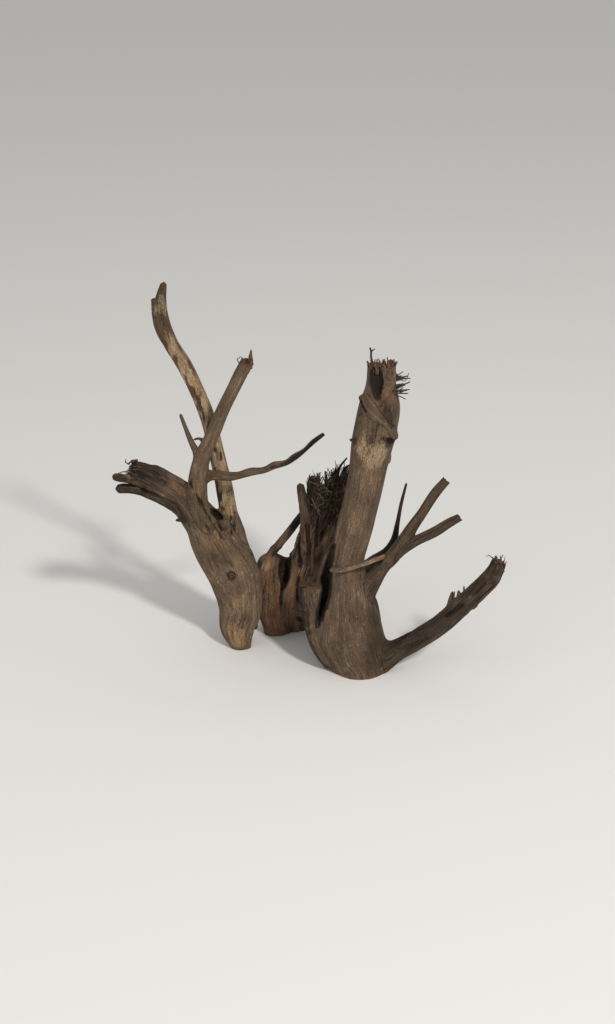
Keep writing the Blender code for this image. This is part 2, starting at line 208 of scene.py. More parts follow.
# %% Stations of the smaller limbs
FINE_LIMBS.update({
    "right_lobe": [(7, 38, -8, 25), (7, 40, 14, 24), (5, 40, 42, 22), (5.5, 40, 69, 20.5), (-1, 36, 94, 14)],
    "middle_lobe": [
        (-106, 105, -8, 14.5), (-106, 106, 10, 17), (-108, 106, 28, 19.5), (-110, 108, 54, 20.5),
        (-110, 112, 80, 21), (-109, 114, 93, 19.5), (-107, 116, 103, 15), (-106, 117, 109, 8),
    ],
    "slab": [(-24, 8, 16, 22), (-36, 9, 30, 21.5), (-43, 10, 43, 21), (-47, 12, 57, 20.5), (-52, 16, 74, 18),
             (-58, 19, 90, 16), (-60, 22, 107, 14.5)],
    "foot_web": [(0, 9, 12, 30), (-14, 8, 26, 27), (-30, 8, 40, 25), (-38, 10, 56, 19)],
    "middle_skirt": [(-88, 108, 13, 11), (-88, 106, 24, 17), (-87, 105, 40, 19), (-84, 105, 62, 19),
                     (-76, 104, 96, 17)],
    "slab_strip": [(-47, 28, 88, 10), (-44, 34, 116, 7.5), (-35, 39, 142, 7.5), (-27, 38, 162, 4)],
    "crown_web": [
        (-150, 84, 54, 21), (-128, 106, 50, 18), (-104, 118, 46, 20), (-78, 120, 44, 24),
        (-52, 94, 46, 26), (-26, 60, 46, 27), (0, 32, 46, 26),
    ],
    "left_shoulder": [(-152, 84, 92, 20), (-130, 100, 78, 13), (-108, 112, 72, 16)],
    "right_shoulder": [(-6, 34, 88, 20), (-30, 58, 95, 18), (-48, 84, 66, 17), (-66, 104, 62, 18)],
    "shard": [(-60, 94, 124, 11), (-65, 87, 160, 8), (-69, 83, 191, 6), (-72, 81, 214, 5.4),
              (-73, 81, 221, 4.6)],
    "bundle_clump": [(-50, 96, 176, 13), (-54, 92, 200, 11.5), (-56, 89, 228, 7.5)],
    "tongue": [(-60, 88, 74, 8), (-54, 82, 100, 7), (-50, 80, 134, 5)],
    "slanting_branch": [(-126, 110, 82, 9), (-112, 114, 107, 5.9), (-89, 120, 136, 5.2), (-66, 125, 165, 5),
                        (-45, 108, 189, 4.6)],
    "fork_limb": [
        (-2, 20, 82, 17), (13, 14, 109, 12), (27, 8, 134, 8.8), (41, 5, 154, 8.1), (54, 2, 176, 7.6),
        (64, 2, 193, 6.9), (75, 4, 209, 6.2), (94, 8, 239, 5.8), (105, 10, 252, 5.2),
    ],
    "fork_lower": [(38, 5, 148, 6.5), (52, 1, 164, 7), (68, -4, 177, 6.3), (94, -12, 195, 5.9),
                   (107, -16, 206, 5.3), (120, -19, 215, 4.4)],
    "rear_limb": [(-7, 34, 94, 14), (7, 44, 116, 9.2), (22, 52, 126, 8), (38, 58, 136, 6.6),
                  (46, 61, 150, 5), (50, 64, 171, 3.1), (55, 67, 200, 2.2), (61, 69, 226, 1.3)],
    "thin_branch": [(-196, 58, 239, 8), (-174, 52, 243, 6), (-160, 48, 243, 5.7), (-150, 45, 245, 4.8),
                    (-134, 42, 251, 5), (-117, 38, 255, 3.9), (-104, 36, 262, 4.6), (-91, 33, 266, 3.6),
                    (-78, 30, 276, 4), (-68, 28, 284, 2.9), (-56, 25, 297, 3.2), (-44, 23, 307, 2.3)],
    "left_twig": [(-195, 57, 260, 6.2), (-203, 54, 277, 4.2), (-208, 52, 290, 3.3), (-219, 48, 324, 1.7)],
    "tiny_twig": [(-190, 57, 283, 2.6), (-197, 60, 288, 1.9), (-205, 62, 286, 1.2)],
    "tip_stub": [(-245, 117, 418, 6), (-251, 116, 436, 4.8), (-253, 115, 451, 3.4)],
    "cross_twig": [(-24, 14, 135, 3.4), (-34, 3, 136, 3), (-23, -5, 139, 2.8), (2, -9, 148, 2.4),
                   (33, 3, 155, 2.6)],
    "band": [(2, 28, 354, 4.8), (7, 22.5, 347, 7), (16, 19.5, 337, 8.2), (27, 19.5, 324, 8.4),
             (36, 22, 312, 7.6), (43, 26, 301, 4.6)],
    "crotch_knob": [(-172, 84, 158, 9), (-169, 72, 164, 8.5), (-168, 63, 166, 6)],
    "rim_ridge": [(22, 20, 345, 5), (29, 25, 362, 7.5), (35, 29, 376, 8), (36, 31, 389, 6)],
    "prong_upper": [(-266, 55, 241, 7), (-283, 48, 240, 5), (-296, 44, 242, 4.6), (-305, 42, 245, 4.2)],
    "prong_lower": [(-229, 62, 197, 7), (-258, 56, 215, 6.4), (-279, 50, 224, 5.4), (-292, 47, 227, 5.9),
                    (-302, 45, 227, 5)],
    "front_spike": [(-134, 43, 384, 4), (-132, 42, 397, 2.6), (-131, 41, 408, 1.1)],
    "stub_straight": [(113, -9, 82, 4), (115, -3, 100, 2.6), (117, 0, 108, 1.4)],
    "stub_flap": [(122, -12, 92, 6), (129, -8, 104, 4.6), (134, -6, 114, 1.8)],
    "stub_nub": [(138, -17, 104, 6), (143, -19, 95, 3.8)],
    "trunk_thorn": [(2, 31, 296, 4), (-9, 25, 298, 2.6), (-13, 24, 300, 1.3)],
    "stem_bump": [(-146, 84, 122, 10), (-138, 82, 130, 5)],
    "stem_nub": [(-152, 76, 25, 8), (-139, 86, 19, 6), (-129, 92, 14, 3.6)],
    "left_flap": [(-212, 62, 186, 6), (-222, 58, 181, 3.6), (-230, 54, 181, 1.4)],
})
print(len(FINE_LIMBS), "limbs in all")

# %% [markdown]
# ## Noise in code
# Weathered wood is uneven at every size. One smooth noise function, used at several scales, gives
# the lumps, the ridges and the cracks. A Displace modifier could do this too, but noise in code can
# be stretched along the grain of a bent limb, which a texture in space can't.

# %% Smooth noise
HASH_X, HASH_Y, HASH_Z, HASH_SEED = 73856093, 19349663, 83492791, 26544357
HASH_MIX = 1274126177


def noise(points, seed):
    """Smooth noise between -1 and 1, one lattice step to a unit."""
    cell = np.floor(points).astype(np.int64)
    part = points - cell
    fade = part ** 3 * (part * (part * 6 - 15) + 10)
    total = np.zeros(len(points))
    for corner in range(8):
        step = np.array([corner & 1, corner >> 1 & 1, corner >> 2 & 1])
        spot = cell + step
        mixed = spot[:, 0] * HASH_X ^ spot[:, 1] * HASH_Y ^ spot[:, 2] * HASH_Z ^ seed * HASH_SEED
        mixed = (mixed ^ mixed >> 13) * HASH_MIX & 0xFFFFFFFF
        mixed = mixed ^ mixed >> 16
        weight = np.prod(np.where(step == 1, fade, 1 - fade), axis=1)
        total += weight * ((mixed & 0xFFFF) / 32767.5 - 1.0)
    return total


def ramp(value, low, high):
    """0 below low, 1 above high, and smooth between."""
    part = np.clip((value - low) / (high - low), 0.0, 1.0)
    return part * part * (3 - 2 * part)


print("noise at one point:", np.round(noise(np.array([[0.3, 1.7, 2.2]]), 1), 3))

# %% [markdown]
# ## A limb as rings round its heart
# A smooth curve runs through the stations. Across it stand rings, each with its zero angle to the
# front, so that every point of the skin has a place along the limb and an angle round it. Those two
# numbers are what the grain, the cracks and the colour are made from.

# %% Heart line and rings
FRONT = np.array([0.0, -1.0, 0.0])
HEART_STEP = 5.0
FIRST_SEED = 3


def smooth_path(stations, step):
    """Places along a limb, and its heart points with their radii, about every step millimetres."""
    knots = np.array(stations, float)
    spans = np.linalg.norm(np.diff(knots[:, :3], axis=0), axis=1)
    at = np.concatenate([[0.0], np.cumsum(spans)])
    slope = np.gradient(knots, at, axis=0)
    where = np.linspace(0.0, at[-1], max(4, int(at[-1] / step) + 1))
    left = np.clip(np.searchsorted(at, where, side="right") - 1, 0, len(at) - 2)
    span = (at[left + 1] - at[left])[:, None]
    t = (where - at[left])[:, None] / span
    path = (2 * t ** 3 - 3 * t ** 2 + 1) * knots[left] + (t ** 3 - 2 * t ** 2 + t) * span * slope[left]
    path += (3 * t ** 2 - 2 * t ** 3) * knots[left + 1] + (t ** 3 - t ** 2) * span * slope[left + 1]
    return where, path[:, :3], path[:, 3]


def unit(vectors):
    return vectors / np.maximum(np.linalg.norm(vectors, axis=-1, keepdims=True), 1e-9)


def ring_axes(heart):
    """The limb's direction, the way to the front and the way round, at each heart point."""
    along = unit(np.gradient(heart, axis=0))
    front = unit(FRONT - (along @ FRONT)[:, None] * along)
    return along, front, np.cross(along, front)


class Limb:
    """The heart of one limb, at a coarse step, for measuring how near a point lies to it."""

    def __init__(self, name, stations, seed):
        self.name = name
        self.seed = seed
        self.stations = stations
        self.at, self.heart, self.radius = smooth_path(stations, HEART_STEP)
        self.along, self.front, self.round = ring_axes(self.heart)
        self.thickness = float(np.mean(self.radius))

    def near(self, points, reach):
        """Gap to the limb's skin, the way out from its heart, and the place along it, for each point."""
        gap = np.full(len(points), np.inf)
        out = np.zeros((len(points), 3))
        place = np.zeros(len(points))
        margin = self.radius.max() + reach
        low, high = self.heart.min(0) - margin, self.heart.max(0) + margin
        chosen = np.flatnonzero(np.all((points > low) & (points < high), axis=1))
        spots = points[chosen]
        best = np.full(len(spots), np.inf)
        best_out = np.zeros((len(spots), 3))
        best_place = np.zeros(len(spots))
        for index in range(len(self.heart) - 1):
            start = self.heart[index]
            run = self.heart[index + 1] - start
            t = np.clip((spots - start) @ run / (run @ run), 0.0, 1.0)
            away = spots - start - t[:, None] * run
            distance = np.sqrt(np.einsum("ij,ij->i", away, away))
            here = distance - self.radius[index] - t * (self.radius[index + 1] - self.radius[index])
            closer = here < best
            best[closer] = here[closer]
            best_out[closer] = away[closer]
            best_place[closer] = self.at[index] + t[closer] * (self.at[index + 1] - self.at[index])
        gap[chosen] = best
        out[chosen] = unit(best_out)
        place[chosen] = best_place
        return gap, out, place

    def angle(self, out, place):
        """Angle round the limb, 0 at the front, of a way out at a place along it."""
        front = np.stack([np.interp(place, self.at, self.front[:, axis]) for axis in range(3)], axis=1)
        side = np.stack([np.interp(place, self.at, self.round[:, axis]) for axis in range(3)], axis=1)
        return np.arctan2(np.einsum("ij,ij->i", out, side), np.einsum("ij,ij->i", out, front))


limbs = {}
for seed, (name, stations) in enumerate(FINE_LIMBS.items(), start=FIRST_SEED):
    limbs[name] = Limb(name, stations, seed)
print("total length of the limbs in mm:", round(sum(limb.at[-1] for limb in limbs.values())))

# %% [markdown]
# ## The relief of old wood
# Soft spring wood wears away first and leaves the hard rings standing, so a bare stem is fluted
# along its grain. Drying opens long thin cracks. The relief is a height in millimetres for each
# place along a limb and angle round it. The grain winds a little, as it does in most trees.

# %% Grain of a limb
TWIST = 0.001
TWIST_PER_MM = {"trunk": 0.0009, "left_stem": -0.0015, "middle_stem": 0.002, "tall_branch": -0.003}
ROUGHNESS = {
    # one value, or one at each end
    "trunk": (0.5, 0.7), "left_stem": (0.4, 2.0), "middle_stem": 2.1, "low_branch": (0.9, 2.1),
    "front_branch": 0.55, "tall_branch": 0.8, "fork_limb": 0.8, "thin_branch": 1.5, "band": 0.6,
    "foot_web": 0.5, "right_lobe": 0.6, "slab": 0.8, "middle_lobe": 0.8, "middle_skirt": 0.9,
    "bundle_clump": 2.4, "shard": 1.6, "prong_lower": 1.6, "prong_upper": 1.6,
}
GRAIN_FROM = {"foot_web": "trunk", "right_lobe": "trunk", "left_shoulder": "left_stem"}
GUIDE_REACH = 60.0


def grain_place(limb, place, angle, size, stretch):
    """Where a point of the skin lies in noise space: round the limb at one size, stretched along it."""
    turned = angle + TWIST_PER_MM.get(limb.name, TWIST) * place
    round_size = limb.thickness / size
    along = place / (size * stretch)
    return np.stack([np.cos(turned) * round_size, np.sin(turned) * round_size, along], axis=1)


def roughness(limb, place):
    """How rough a limb is at a place along it."""
    value = ROUGHNESS.get(limb.name, 1.0)
    low, high = value if isinstance(value, tuple) else (value, value)
    return low + (high - low) * (place / limb.at[-1]) ** 3


def grain_frame(limb, points, place, angle):
    """The limb whose grain the points follow, with their places along it and angles round it."""
    if limb.name not in GRAIN_FROM:
        return limb, place, angle
    guide = limbs[GRAIN_FROM[limb.name]]
    _, out, spot = guide.near(points, GUIDE_REACH)
    return guide, spot, guide.angle(out, spot)


turn = abs(TWIST_PER_MM["tall_branch"]) * limbs["tall_branch"].at[-1]
print("the tall branch's grain turns by", round(math.degrees(turn)), "degrees on its way up")

# %% [markdown]
# ## Lumps, flutes, furrows and splits
# The relief adds one field of noise for each habit of the wood: soft lumps, flutes along the grain,
# fine furrows, splits from drying, and knobs where it is torn. Sculpting brushes could draw them, but
# a sum of fields covers every limb in the same hand, and each field has its own depth to turn.

# %% Relief
# Each field has its size in millimetres, its stretch along the grain and its own seed.
LUMP = (15.0, 2.6, 0)
FLUTE = (6.5, 9.0, 50)
FURROW = (2.7, 15.0, 90)
SPLIT = (10.0, 13.0, 130)
KNOB = (4.6, 1.5, 210)
FLUTED_AREA = (26.0, 2.5, 30)
SPLIT_AREA = (17.0, 5.0, 170)
LUMP_HEIGHT, FLUTE_HEIGHT, FURROW_HEIGHT, SPLIT_DEPTH, KNOB_HEIGHT = 1.35, 0.62, 0.3, 1.7, 0.9
SPLIT_WIDTH = 0.13
FULL_RELIEF_RADIUS = 17.0
LEAST_RELIEF, MOST_RELIEF = 0.22, 1.25


def grain_noise(limb, place, angle, field):
    size, stretch, seed = field
    return noise(grain_place(limb, place, angle, size, stretch), limb.seed + seed)


def relief(limb, place, angle):
    """Height of the skin over the plain limb, and how worn and how split it is there."""
    rough = roughness(limb, place)
    scale = np.interp(place, limb.at, limb.radius) / FULL_RELIEF_RADIUS
    scale = np.clip(scale, LEAST_RELIEF, MOST_RELIEF)
    lump = grain_noise(limb, place, angle, LUMP)
    fluted = ramp(grain_noise(limb, place, angle, FLUTED_AREA), -0.35, 0.45)
    flute = 0.45 - 1.7 * np.abs(grain_noise(limb, place, angle, FLUTE))
    furrow = 0.5 - 1.6 * np.abs(grain_noise(limb, place, angle, FURROW))
    split_here = ramp(grain_noise(limb, place, angle, SPLIT_AREA), 0.05, 0.4)
    line = np.abs(grain_noise(limb, place, angle, SPLIT))
    split = (1.0 - ramp(line, 0.02, SPLIT_WIDTH)) * split_here * np.clip(rough - 0.4, 0.0, 1.0)
    knob = grain_noise(limb, place, angle, KNOB) * np.clip(rough - 0.6, 0.0, 1.2)
    grooves = rough * fluted * (FLUTE_HEIGHT * flute + FURROW_HEIGHT * furrow)
    height = scale * (LUMP_HEIGHT * lump + grooves - SPLIT_DEPTH * rough * split + KNOB_HEIGHT * knob)
    worn = 0.5 * furrow + 0.5 * flute * fluted + 0.25 * lump + 0.5 * knob
    return height, worn, split


height, worn, split = relief(limbs["trunk"], np.linspace(50, 300, 500), np.linspace(0, 6, 500))
print("relief on the trunk in mm, from", round(height.min(), 2), "to", round(height.max(), 2))

# %% [markdown]
# ## Growing together
# Two tubes that cross leave a hard crease. Real limbs grow over the joint, so the skin swells where
# another limb is near. The swelling follows the smooth-union rule from distance fields: it is
# largest where the two skins meet and fades over a few millimetres.

# %% Swelling at the forks
BLEND_SHARE = 0.75
BLEND_LEAST = 1.5
BLEND_REACH = 24.0


def swell(points, normal, own, place):
    """Moves a limb's skin outwards where other limbs come near it."""
    push = np.zeros(len(points))
    way = normal.copy()
    own_radius = np.interp(place, own.at, own.radius)
    for other in limbs.values():
        if other is own:
            continue
        gap, out, spot = other.near(points, BLEND_REACH)
        blend = BLEND_LEAST + BLEND_SHARE * np.minimum(own_radius, np.interp(spot, other.at, other.radius))
        share = np.clip(1.0 - np.abs(gap) / blend, 0.0, 1.0)
        here = blend / 4 * share * share
        half = (share / 2)[:, None]
        outside = (gap > 0)[:, None]
        mixed = np.where(outside, normal * (1 - half) + out * half, out * (1 - half) + normal * half)
        stronger = here > push
        push[stronger] = here[stronger]
        way[stronger] = unit(mixed)[stronger]
    return points + way * push[:, None]


print("a twig of 4 mm blends over", BLEND_LEAST + BLEND_SHARE * 4, "mm")

# %% [markdown]
# ## Marks of its history
# Some marks are there by accident: a crack that opened in one place, a scoop where a root rotted, a
# lump over an old wound. Each is a line with a reach and a depth, and the skin near it is pushed in,
# or out where the depth is negative. A sculpting brush does the same, one stroke at a time. Each mark's
# darkness paints shade into its groove, and two dark strips paint the shadows along the slab's left
# edge and the middle stem's right edge.

# %% Marks
MARKS = [
    # start, end, reach, depth, darkness (painted shade)
    ((26, 12, 352), (33, 12, 338), 7.5, 3.2, 0.5),
    ((35, 12, 336), (40, 14, 322), 6.5, 3.4, 0.65),
    ((27, 11, 306), (36, 16, 298), 3.2, 2.8, 0.9),
    ((-210, 48, 236), (-202.5, 48.5, 219), 2.5, 2.4, 1.0),
    ((-202.5, 48.5, 219), (-194.5, 50.5, 201), 2.5, 2.6, 1.0),
    ((-194.5, 50.5, 201), (-186, 53.5, 183), 2.4, 2.4, 0.9),
    ((-186, 53.5, 183), (-172, 55.5, 157), 2.2, 1.6, 0.5),
    ((-215, 52, 180), (-186, 50, 128), 3.0, 1.2, 0.15),
    ((-150, 46, 80), (-146, 44, 40), 4.0, 1.4, 0.2),
    ((-280, 51, 230), (-252, 48, 217), 2.6, 3.4, 1.0),
    ((-252, 48, 217), (-228, 51, 203), 2.6, 3.2, 1.0),
    ((-228, 51, 203), (-213, 54, 172), 2.6, 2.6, 0.9),
    ((-239, 54, 241), (-233, 52, 232), 2.4, 2.2, 0.9),
    ((-160, 47, 108), (-160, 47, 107), 7.0, -1.2, 0.0),
    # a dark strip that paints the shadow along the slab's left edge
    ((-75, 14, 104), (-72, 8, 70), 4.0, 0.6, 0.9),
    ((-92, 94, 86), (-97, 90, 73), 2.6, 3.6, 1.0),
    ((-97, 90, 73), (-99, 86, 50), 2.4, 2.8, 0.9),
    ((-176, 60, 176), (-173, 60, 166), 2.6, 1.8, 0.9),
    ((-257, 44, 250), (-240, 50, 232), 3.4, 2.2, 0.6),
    ((-262, 44, 236), (-246, 47, 226), 4.0, -2.2, 0.0),
    ((-274, 46, 252), (-268, 44, 244), 3.6, 2.4, 0.8),
    ((0.5, 21, 349), (5.5, 16.5, 340), 2.8, 2.6, 1.0),
    ((-161, 79, 174), (-160.5, 69, 157), 2.8, 1.6, 0.9),
    # a dark strip that paints the shadow at the middle stem's right edge, beside the slab
    ((-76, 82, 88), (-73, 86, 20), 4.5, 1.6, 1.0),
    ((36, 34, 274), (36, 30, 270), 4.5, -2.0, 0.0),
    ((-2, 14, 292), (24, 10, 290), 5.5, 0.8, 0.0),
    ((34, 17, 302), (40, 22, 296), 4.0, 2.0, 1.0),
    ((-75, 92, 150), (-73, 86.5, 104), 4.0, 2.6, 1.0),
    ((-64, 78, 164), (-61.5, 80.5, 129), 3.4, 2.6, 1.0),
    ((-61.5, 80.5, 129), (-61.5, 77.5, 95), 3.2, 2.6, 1.0),
    ((-50, 79, 172), (-53, 77.5, 137), 3.2, 2.4, 1.0),
    ((110, -20, 84), (128, -24, 100), 4.0, 2.2, 0.6),
    ((140, -28, 118), (152, -30, 132), 3.6, 1.8, 0.5),
    ((60, -14, 36), (84, -20, 52), 4.0, 1.6, 0.3),
]


def line_distance(points, start, end):
    """Distance of each point from the line between two points."""
    start, end = np.array(start, float), np.array(end, float)
    run = end - start
    t = np.clip((points - start) @ run / (run @ run), 0.0, 1.0)
    return np.linalg.norm(points - start - t[:, None] * run, axis=1)


def marked(points):
    """How far each point is pushed in by the marks, and how much shade is painted there."""
    push = np.zeros(len(points))
    shade = np.zeros(len(points))
    for start, end, reach, depth, darkness in MARKS:
        share = 1.0 - ramp(line_distance(points, start, end), 0.25 * reach, 1.25 * reach)
        push += depth * share
        shade = np.maximum(shade, darkness * share)
    return push, shade


print(len(MARKS), "marks")

# %% [markdown]
# ## Torn ends
# Driftwood breaks across long fibres, so an end is a ring of teeth round a ragged hollow and never
# a clean disc. The last rings slide along the limb by a toothed noise, and the cap sinks inwards.
# Twigs that wore away in the water end in a round tip instead.

# %% Ends and outlines
TORN_ENDS = {
    # depth of the teeth
    "trunk": 3.6, "left_stem": 5.0, "low_branch": 4.0, "front_branch": 3.0, "slab": 1.6,
    "fork_limb": 1.5, "fork_lower": 1.5, "band": 1.5, "tip_stub": 1.0, "stub_nub": 0.6, "thin_branch": 0.6,
}
SQUARED = {"slab": 0.2, "slab_strip": 0.12, "tongue": 0.14}
CAP_RINGS = (0.86, 0.66, 0.42, 0.18)
TOOTH_SIZE = 2.4
FINE_TEETH = 2.3
CAP_LUMP_SIZE = 1.8


def outline(limb, angle):
    """Radius of the limb's cross-section as a share of its own radius."""
    shape = 1.0 + 0.04 * np.cos(2 * angle + limb.seed) + 0.045 * np.cos(3 * angle + 2.1 * limb.seed)
    return shape - SQUARED.get(limb.name, 0.0) * np.cos(4 * angle)


def end_rounding(at, radius):
    """Shrinks the last rings of a worn tip so that it ends round."""
    left = np.clip((at[-1] - at) / max(radius[-1], 0.8), 0.0, 1.0)
    return np.sqrt(np.maximum(1.0 - (1.0 - left) ** 2, 0.02))


def torn_slide(limb, at, radius, angle):
    """How far each point of the last rings slides along the limb, as teeth."""
    tooth = TORN_ENDS[limb.name]
    turned = np.stack([np.cos(angle), np.sin(angle)], axis=1) * radius[-1] / TOOTH_SIZE
    jag = noise(np.column_stack([turned, np.full(len(angle), 0.5)]), limb.seed + 7)
    jag += 0.6 * noise(np.column_stack([turned * FINE_TEETH, np.full(len(angle), 3.5)]), limb.seed + 8)
    reach = ramp(at, at[-1] - 4 * tooth, at[-1]) * tooth
    return reach[:, None] * jag[None]


def end_cap(limb, rim, middle, way):
    """Smaller and smaller rings that close the far end, sunk and lumpy where it is torn."""
    tooth = TORN_ENDS.get(limb.name, 0.0)
    rings = []
    for share in CAP_RINGS:
        ring = middle + (rim - middle) * share
        rough = noise(ring / CAP_LUMP_SIZE, limb.seed + 9)[:, None] * 0.35 * tooth
        rings.append((ring + way * (rough - 0.55 * tooth * (1 - share)))[None])
    return rings


print(len(TORN_ENDS), "ends are torn and", len(limbs) - len(TORN_ENDS), "are worn round")

# %% [markdown]
# ## The skin of one limb
# Each limb gets its own closed skin: rings are swollen at the forks, pushed out by the relief and in
# by the marks, along the skin's own normals. A Skin modifier makes such tubes as well, but with far
# fewer faces and none that follow the grain. Small even faces keep the fine furrows sharp.

# %% Skin of one limb
CELL_ROUND = 1.24
CELL_ALONG = 2.75
CELL_ALONG_TWIG = 1.7
TWIG_THICKNESS = 6
FEWEST_COLUMNS, MOST_COLUMNS = 14, 132


def outward(grid, spoke):
    """The skin's normals, all turned away from the heart."""
    normal = unit(np.cross(np.roll(grid, -1, 1) - np.roll(grid, 1, 1), np.gradient(grid, axis=0)))
    facing = np.sign(np.einsum("ijk,ijk->ij", normal, spoke))
    return normal * facing[..., None]


def limb_skin(limb):
    """Points of a limb's skin as rings, with a cap of smaller rings at its far end."""
    columns = int(np.clip(2 * math.pi * limb.thickness / CELL_ROUND, FEWEST_COLUMNS, MOST_COLUMNS))
    step = CELL_ALONG if limb.thickness > TWIG_THICKNESS else CELL_ALONG_TWIG
    at, heart, radius = smooth_path(limb.stations, step)
    along, front, side = ring_axes(heart)
    torn_here = limb.name in TORN_ENDS
    if not torn_here:
        radius = radius * end_rounding(at, radius)
    angle = np.linspace(0.0, 2 * math.pi, columns, endpoint=False)
    spoke = front[:, None] * np.cos(angle)[None, :, None] + side[:, None] * np.sin(angle)[None, :, None]
    points = heart[:, None] + spoke * (radius[:, None] * outline(limb, angle)[None])[..., None]
    place, turn = np.repeat(at, columns), np.tile(angle, len(at))
    grid = swell(points.reshape(-1, 3), spoke.reshape(-1, 3), limb, place).reshape(points.shape)
    height, _, _ = relief(*grain_frame(limb, grid.reshape(-1, 3), place, turn))
    push, _ = marked(grid.reshape(-1, 3))
    grid = grid + outward(grid, spoke) * (height - push).reshape(len(at), columns, 1)
    if torn_here:
        grid = grid + along[:, None] * torn_slide(limb, at, radius, angle)[..., None]
    return np.concatenate([grid] + end_cap(limb, grid[-1], heart[-1], along[-1]))


rings = {name: limb_skin(limb) for name, limb in limbs.items()}
print("rings and columns of the trunk:", rings["trunk"].shape[:2])

# %% [markdown]
# ## From rings to meshes
# Rings become a mesh when each point is joined to its neighbour and to the ring above. A fan of
# triangles closes both ends, because a union needs closed skins. The same mesh could be built with
# a grid of the bmesh kit, but plain lists of faces are quicker for tens of thousands of them.

# %% Meshes of the limbs
def skin_mesh(name, rings):
    """A closed mesh from rings of points, with a fan at each end."""
    rows, columns = rings.shape[:2]
    points = np.concatenate([rings.reshape(-1, 3), rings[:1].mean(1), rings[-1:].mean(1)]) * MM
    row, column = np.meshgrid(np.arange(rows - 1), np.arange(columns), indexing="ij")
    following = (column + 1) % columns
    quads = np.stack([row * columns + column, row * columns + following,
                      (row + 1) * columns + following, (row + 1) * columns + column], axis=-1).reshape(-1, 4)
    first = np.arange(columns)
    after = (first + 1) % columns
    low = np.stack([np.full(columns, rows * columns), after, first], axis=1)
    last = (rows - 1) * columns
    high = np.stack([np.full(columns, rows * columns + 1), last + first, last + after], axis=1)
    mesh = bpy.data.meshes.new(name)
    mesh.from_pydata(points.tolist(), [], quads.tolist() + low.tolist() + high.tolist())
    work = bmesh.new()
    work.from_mesh(mesh)
    bmesh.ops.recalc_face_normals(work, faces=work.faces)
    work.to_mesh(mesh)
    work.free()
    return mesh


skins = bpy.data.collections.new("skins")
bpy.context.scene.collection.children.link(skins)
for name, grid in rings.items():
    skins.objects.link(bpy.data.objects.new(name, skin_mesh(name, grid)))

# %% [markdown]
# ## One skin
# The wood grew as one piece, so all the skins become one closed mesh. A remesh could fuse them too,
# but it would blur the furrows. A Boolean union keeps every point, and its manifold solver is fast on
# dense meshes as long as each of them is closed.

# %% Union
def combine(base, group, operation):
    """Joins or cuts the base with every mesh of a collection, which are then removed."""
    modifier = base.modifiers.new(operation, "BOOLEAN")
    modifier.operation = operation
    modifier.operand_type = "COLLECTION"
    modifier.collection = group
    modifier.solver = "MANIFOLD"
    graph = bpy.context.evaluated_depsgraph_get()
    mesh = bpy.data.meshes.new_from_object(base.evaluated_get(graph))
    base.modifiers.clear()
    base.data = mesh
    for other in list(group.objects):
        bpy.data.objects.remove(other)


body = skins.objects["trunk"]
body.name = "driftwood_body"
skins.objects.unlink(body)
bpy.context.scene.collection.objects.link(body)
combine(body, skins, "UNION")
print("the union has", len(body.data.vertices), "points")

# %% [markdown]
# ## Hollows and feet
# The trunk's top is hollow, the lobe and the left fork have pits, and a long slit parts the slab from
# the trunk. They could be pressed in as marks, but a mark can't undercut. Each is a limb of its own
# that is cut out, repeated towards the back where it runs deep. A block saws the feet off level.

# %% Hollows and feet
HOLLOWS = {
    "crown_hollow": [(15, 22, 390, 8), (14.5, 22, 381, 10.6), (16.5, 22, 372, 9.8), (19, 21, 364, 6.6),
                     (20, 19, 356, 3)],
    "crotch_pit": [(-185, 62, 190, 4), (-181, 68, 182, 7), (-177, 78, 172, 6)],
    "lobe_pit": [(-92, 100, 108, 6), (-94, 99, 93, 7.4), (-93, 99, 80, 5), (-95, 98, 70, 2)],
    "slab_slit": [(-31, 24, 162, 2.5), (-35.5, 22, 144, 5), (-39, 20, 118, 5.6), (-43.5, 16, 92, 5.2),
                  (-48.5, 8, 74, 3.8), (-51, 1, 64, 2)],
}
HOLLOW_STEPS_BACK = {"slab_slit": (-16, -8, 0, 8), "lobe_pit": (-8, 0, 8)}
HOLLOW_SLIM_TOP = {("slab_slit", -16): 0.35, ("slab_slit", -8): 0.8, ("slab_slit", 8): 0.3}
TOP_STATIONS = 2
FIRST_HOLLOW_SEED = 300
GROUND_SIZE = 1.2


def hollow_copies(name, stations, seed):
    """A hollow and its copies further back, some of them slimmer at their upper end."""
    copies = []
    for back in HOLLOW_STEPS_BACK.get(name, (0,)):
        slim = HOLLOW_SLIM_TOP.get((name, back), 1.0)
        moved = [(x, y + back, z, radius * (slim if index < TOP_STATIONS else 1.0))
                 for index, (x, y, z, radius) in enumerate(stations)]
        copies.append(Limb(name, moved, seed))
    return copies


def ground_block():
    """A large block under the ground."""
    mesh = bpy.data.meshes.new("ground_block")
    work = bmesh.new()
    bmesh.ops.create_cube(work, size=GROUND_SIZE)
    bmesh.ops.translate(work, verts=work.verts, vec=(0.0, 0.0, -GROUND_SIZE / 2))
    work.to_mesh(mesh)
    work.free()
    return bpy.data.objects.new("ground_block", mesh)


hollows = []
for seed, (name, stations) in enumerate(HOLLOWS.items(), start=FIRST_HOLLOW_SEED):
    hollows.extend(hollow_copies(name, stations, seed))
for hollow in hollows:
    skins.objects.link(bpy.data.objects.new(hollow.name, skin_mesh(hollow.name, limb_skin(hollow))))
skins.objects.link(ground_block())
combine(body, skins, "DIFFERENCE")
print(len(hollows), "hollows cut")

# %% [markdown]
# ## No scraps
# Where two rough skins graze each other, a union can leave a chip or a bubble of a few faces. They
# can be picked by hand in Edit Mode with Select Linked. Here the points are sorted into connected
# groups, and all but the largest group go.

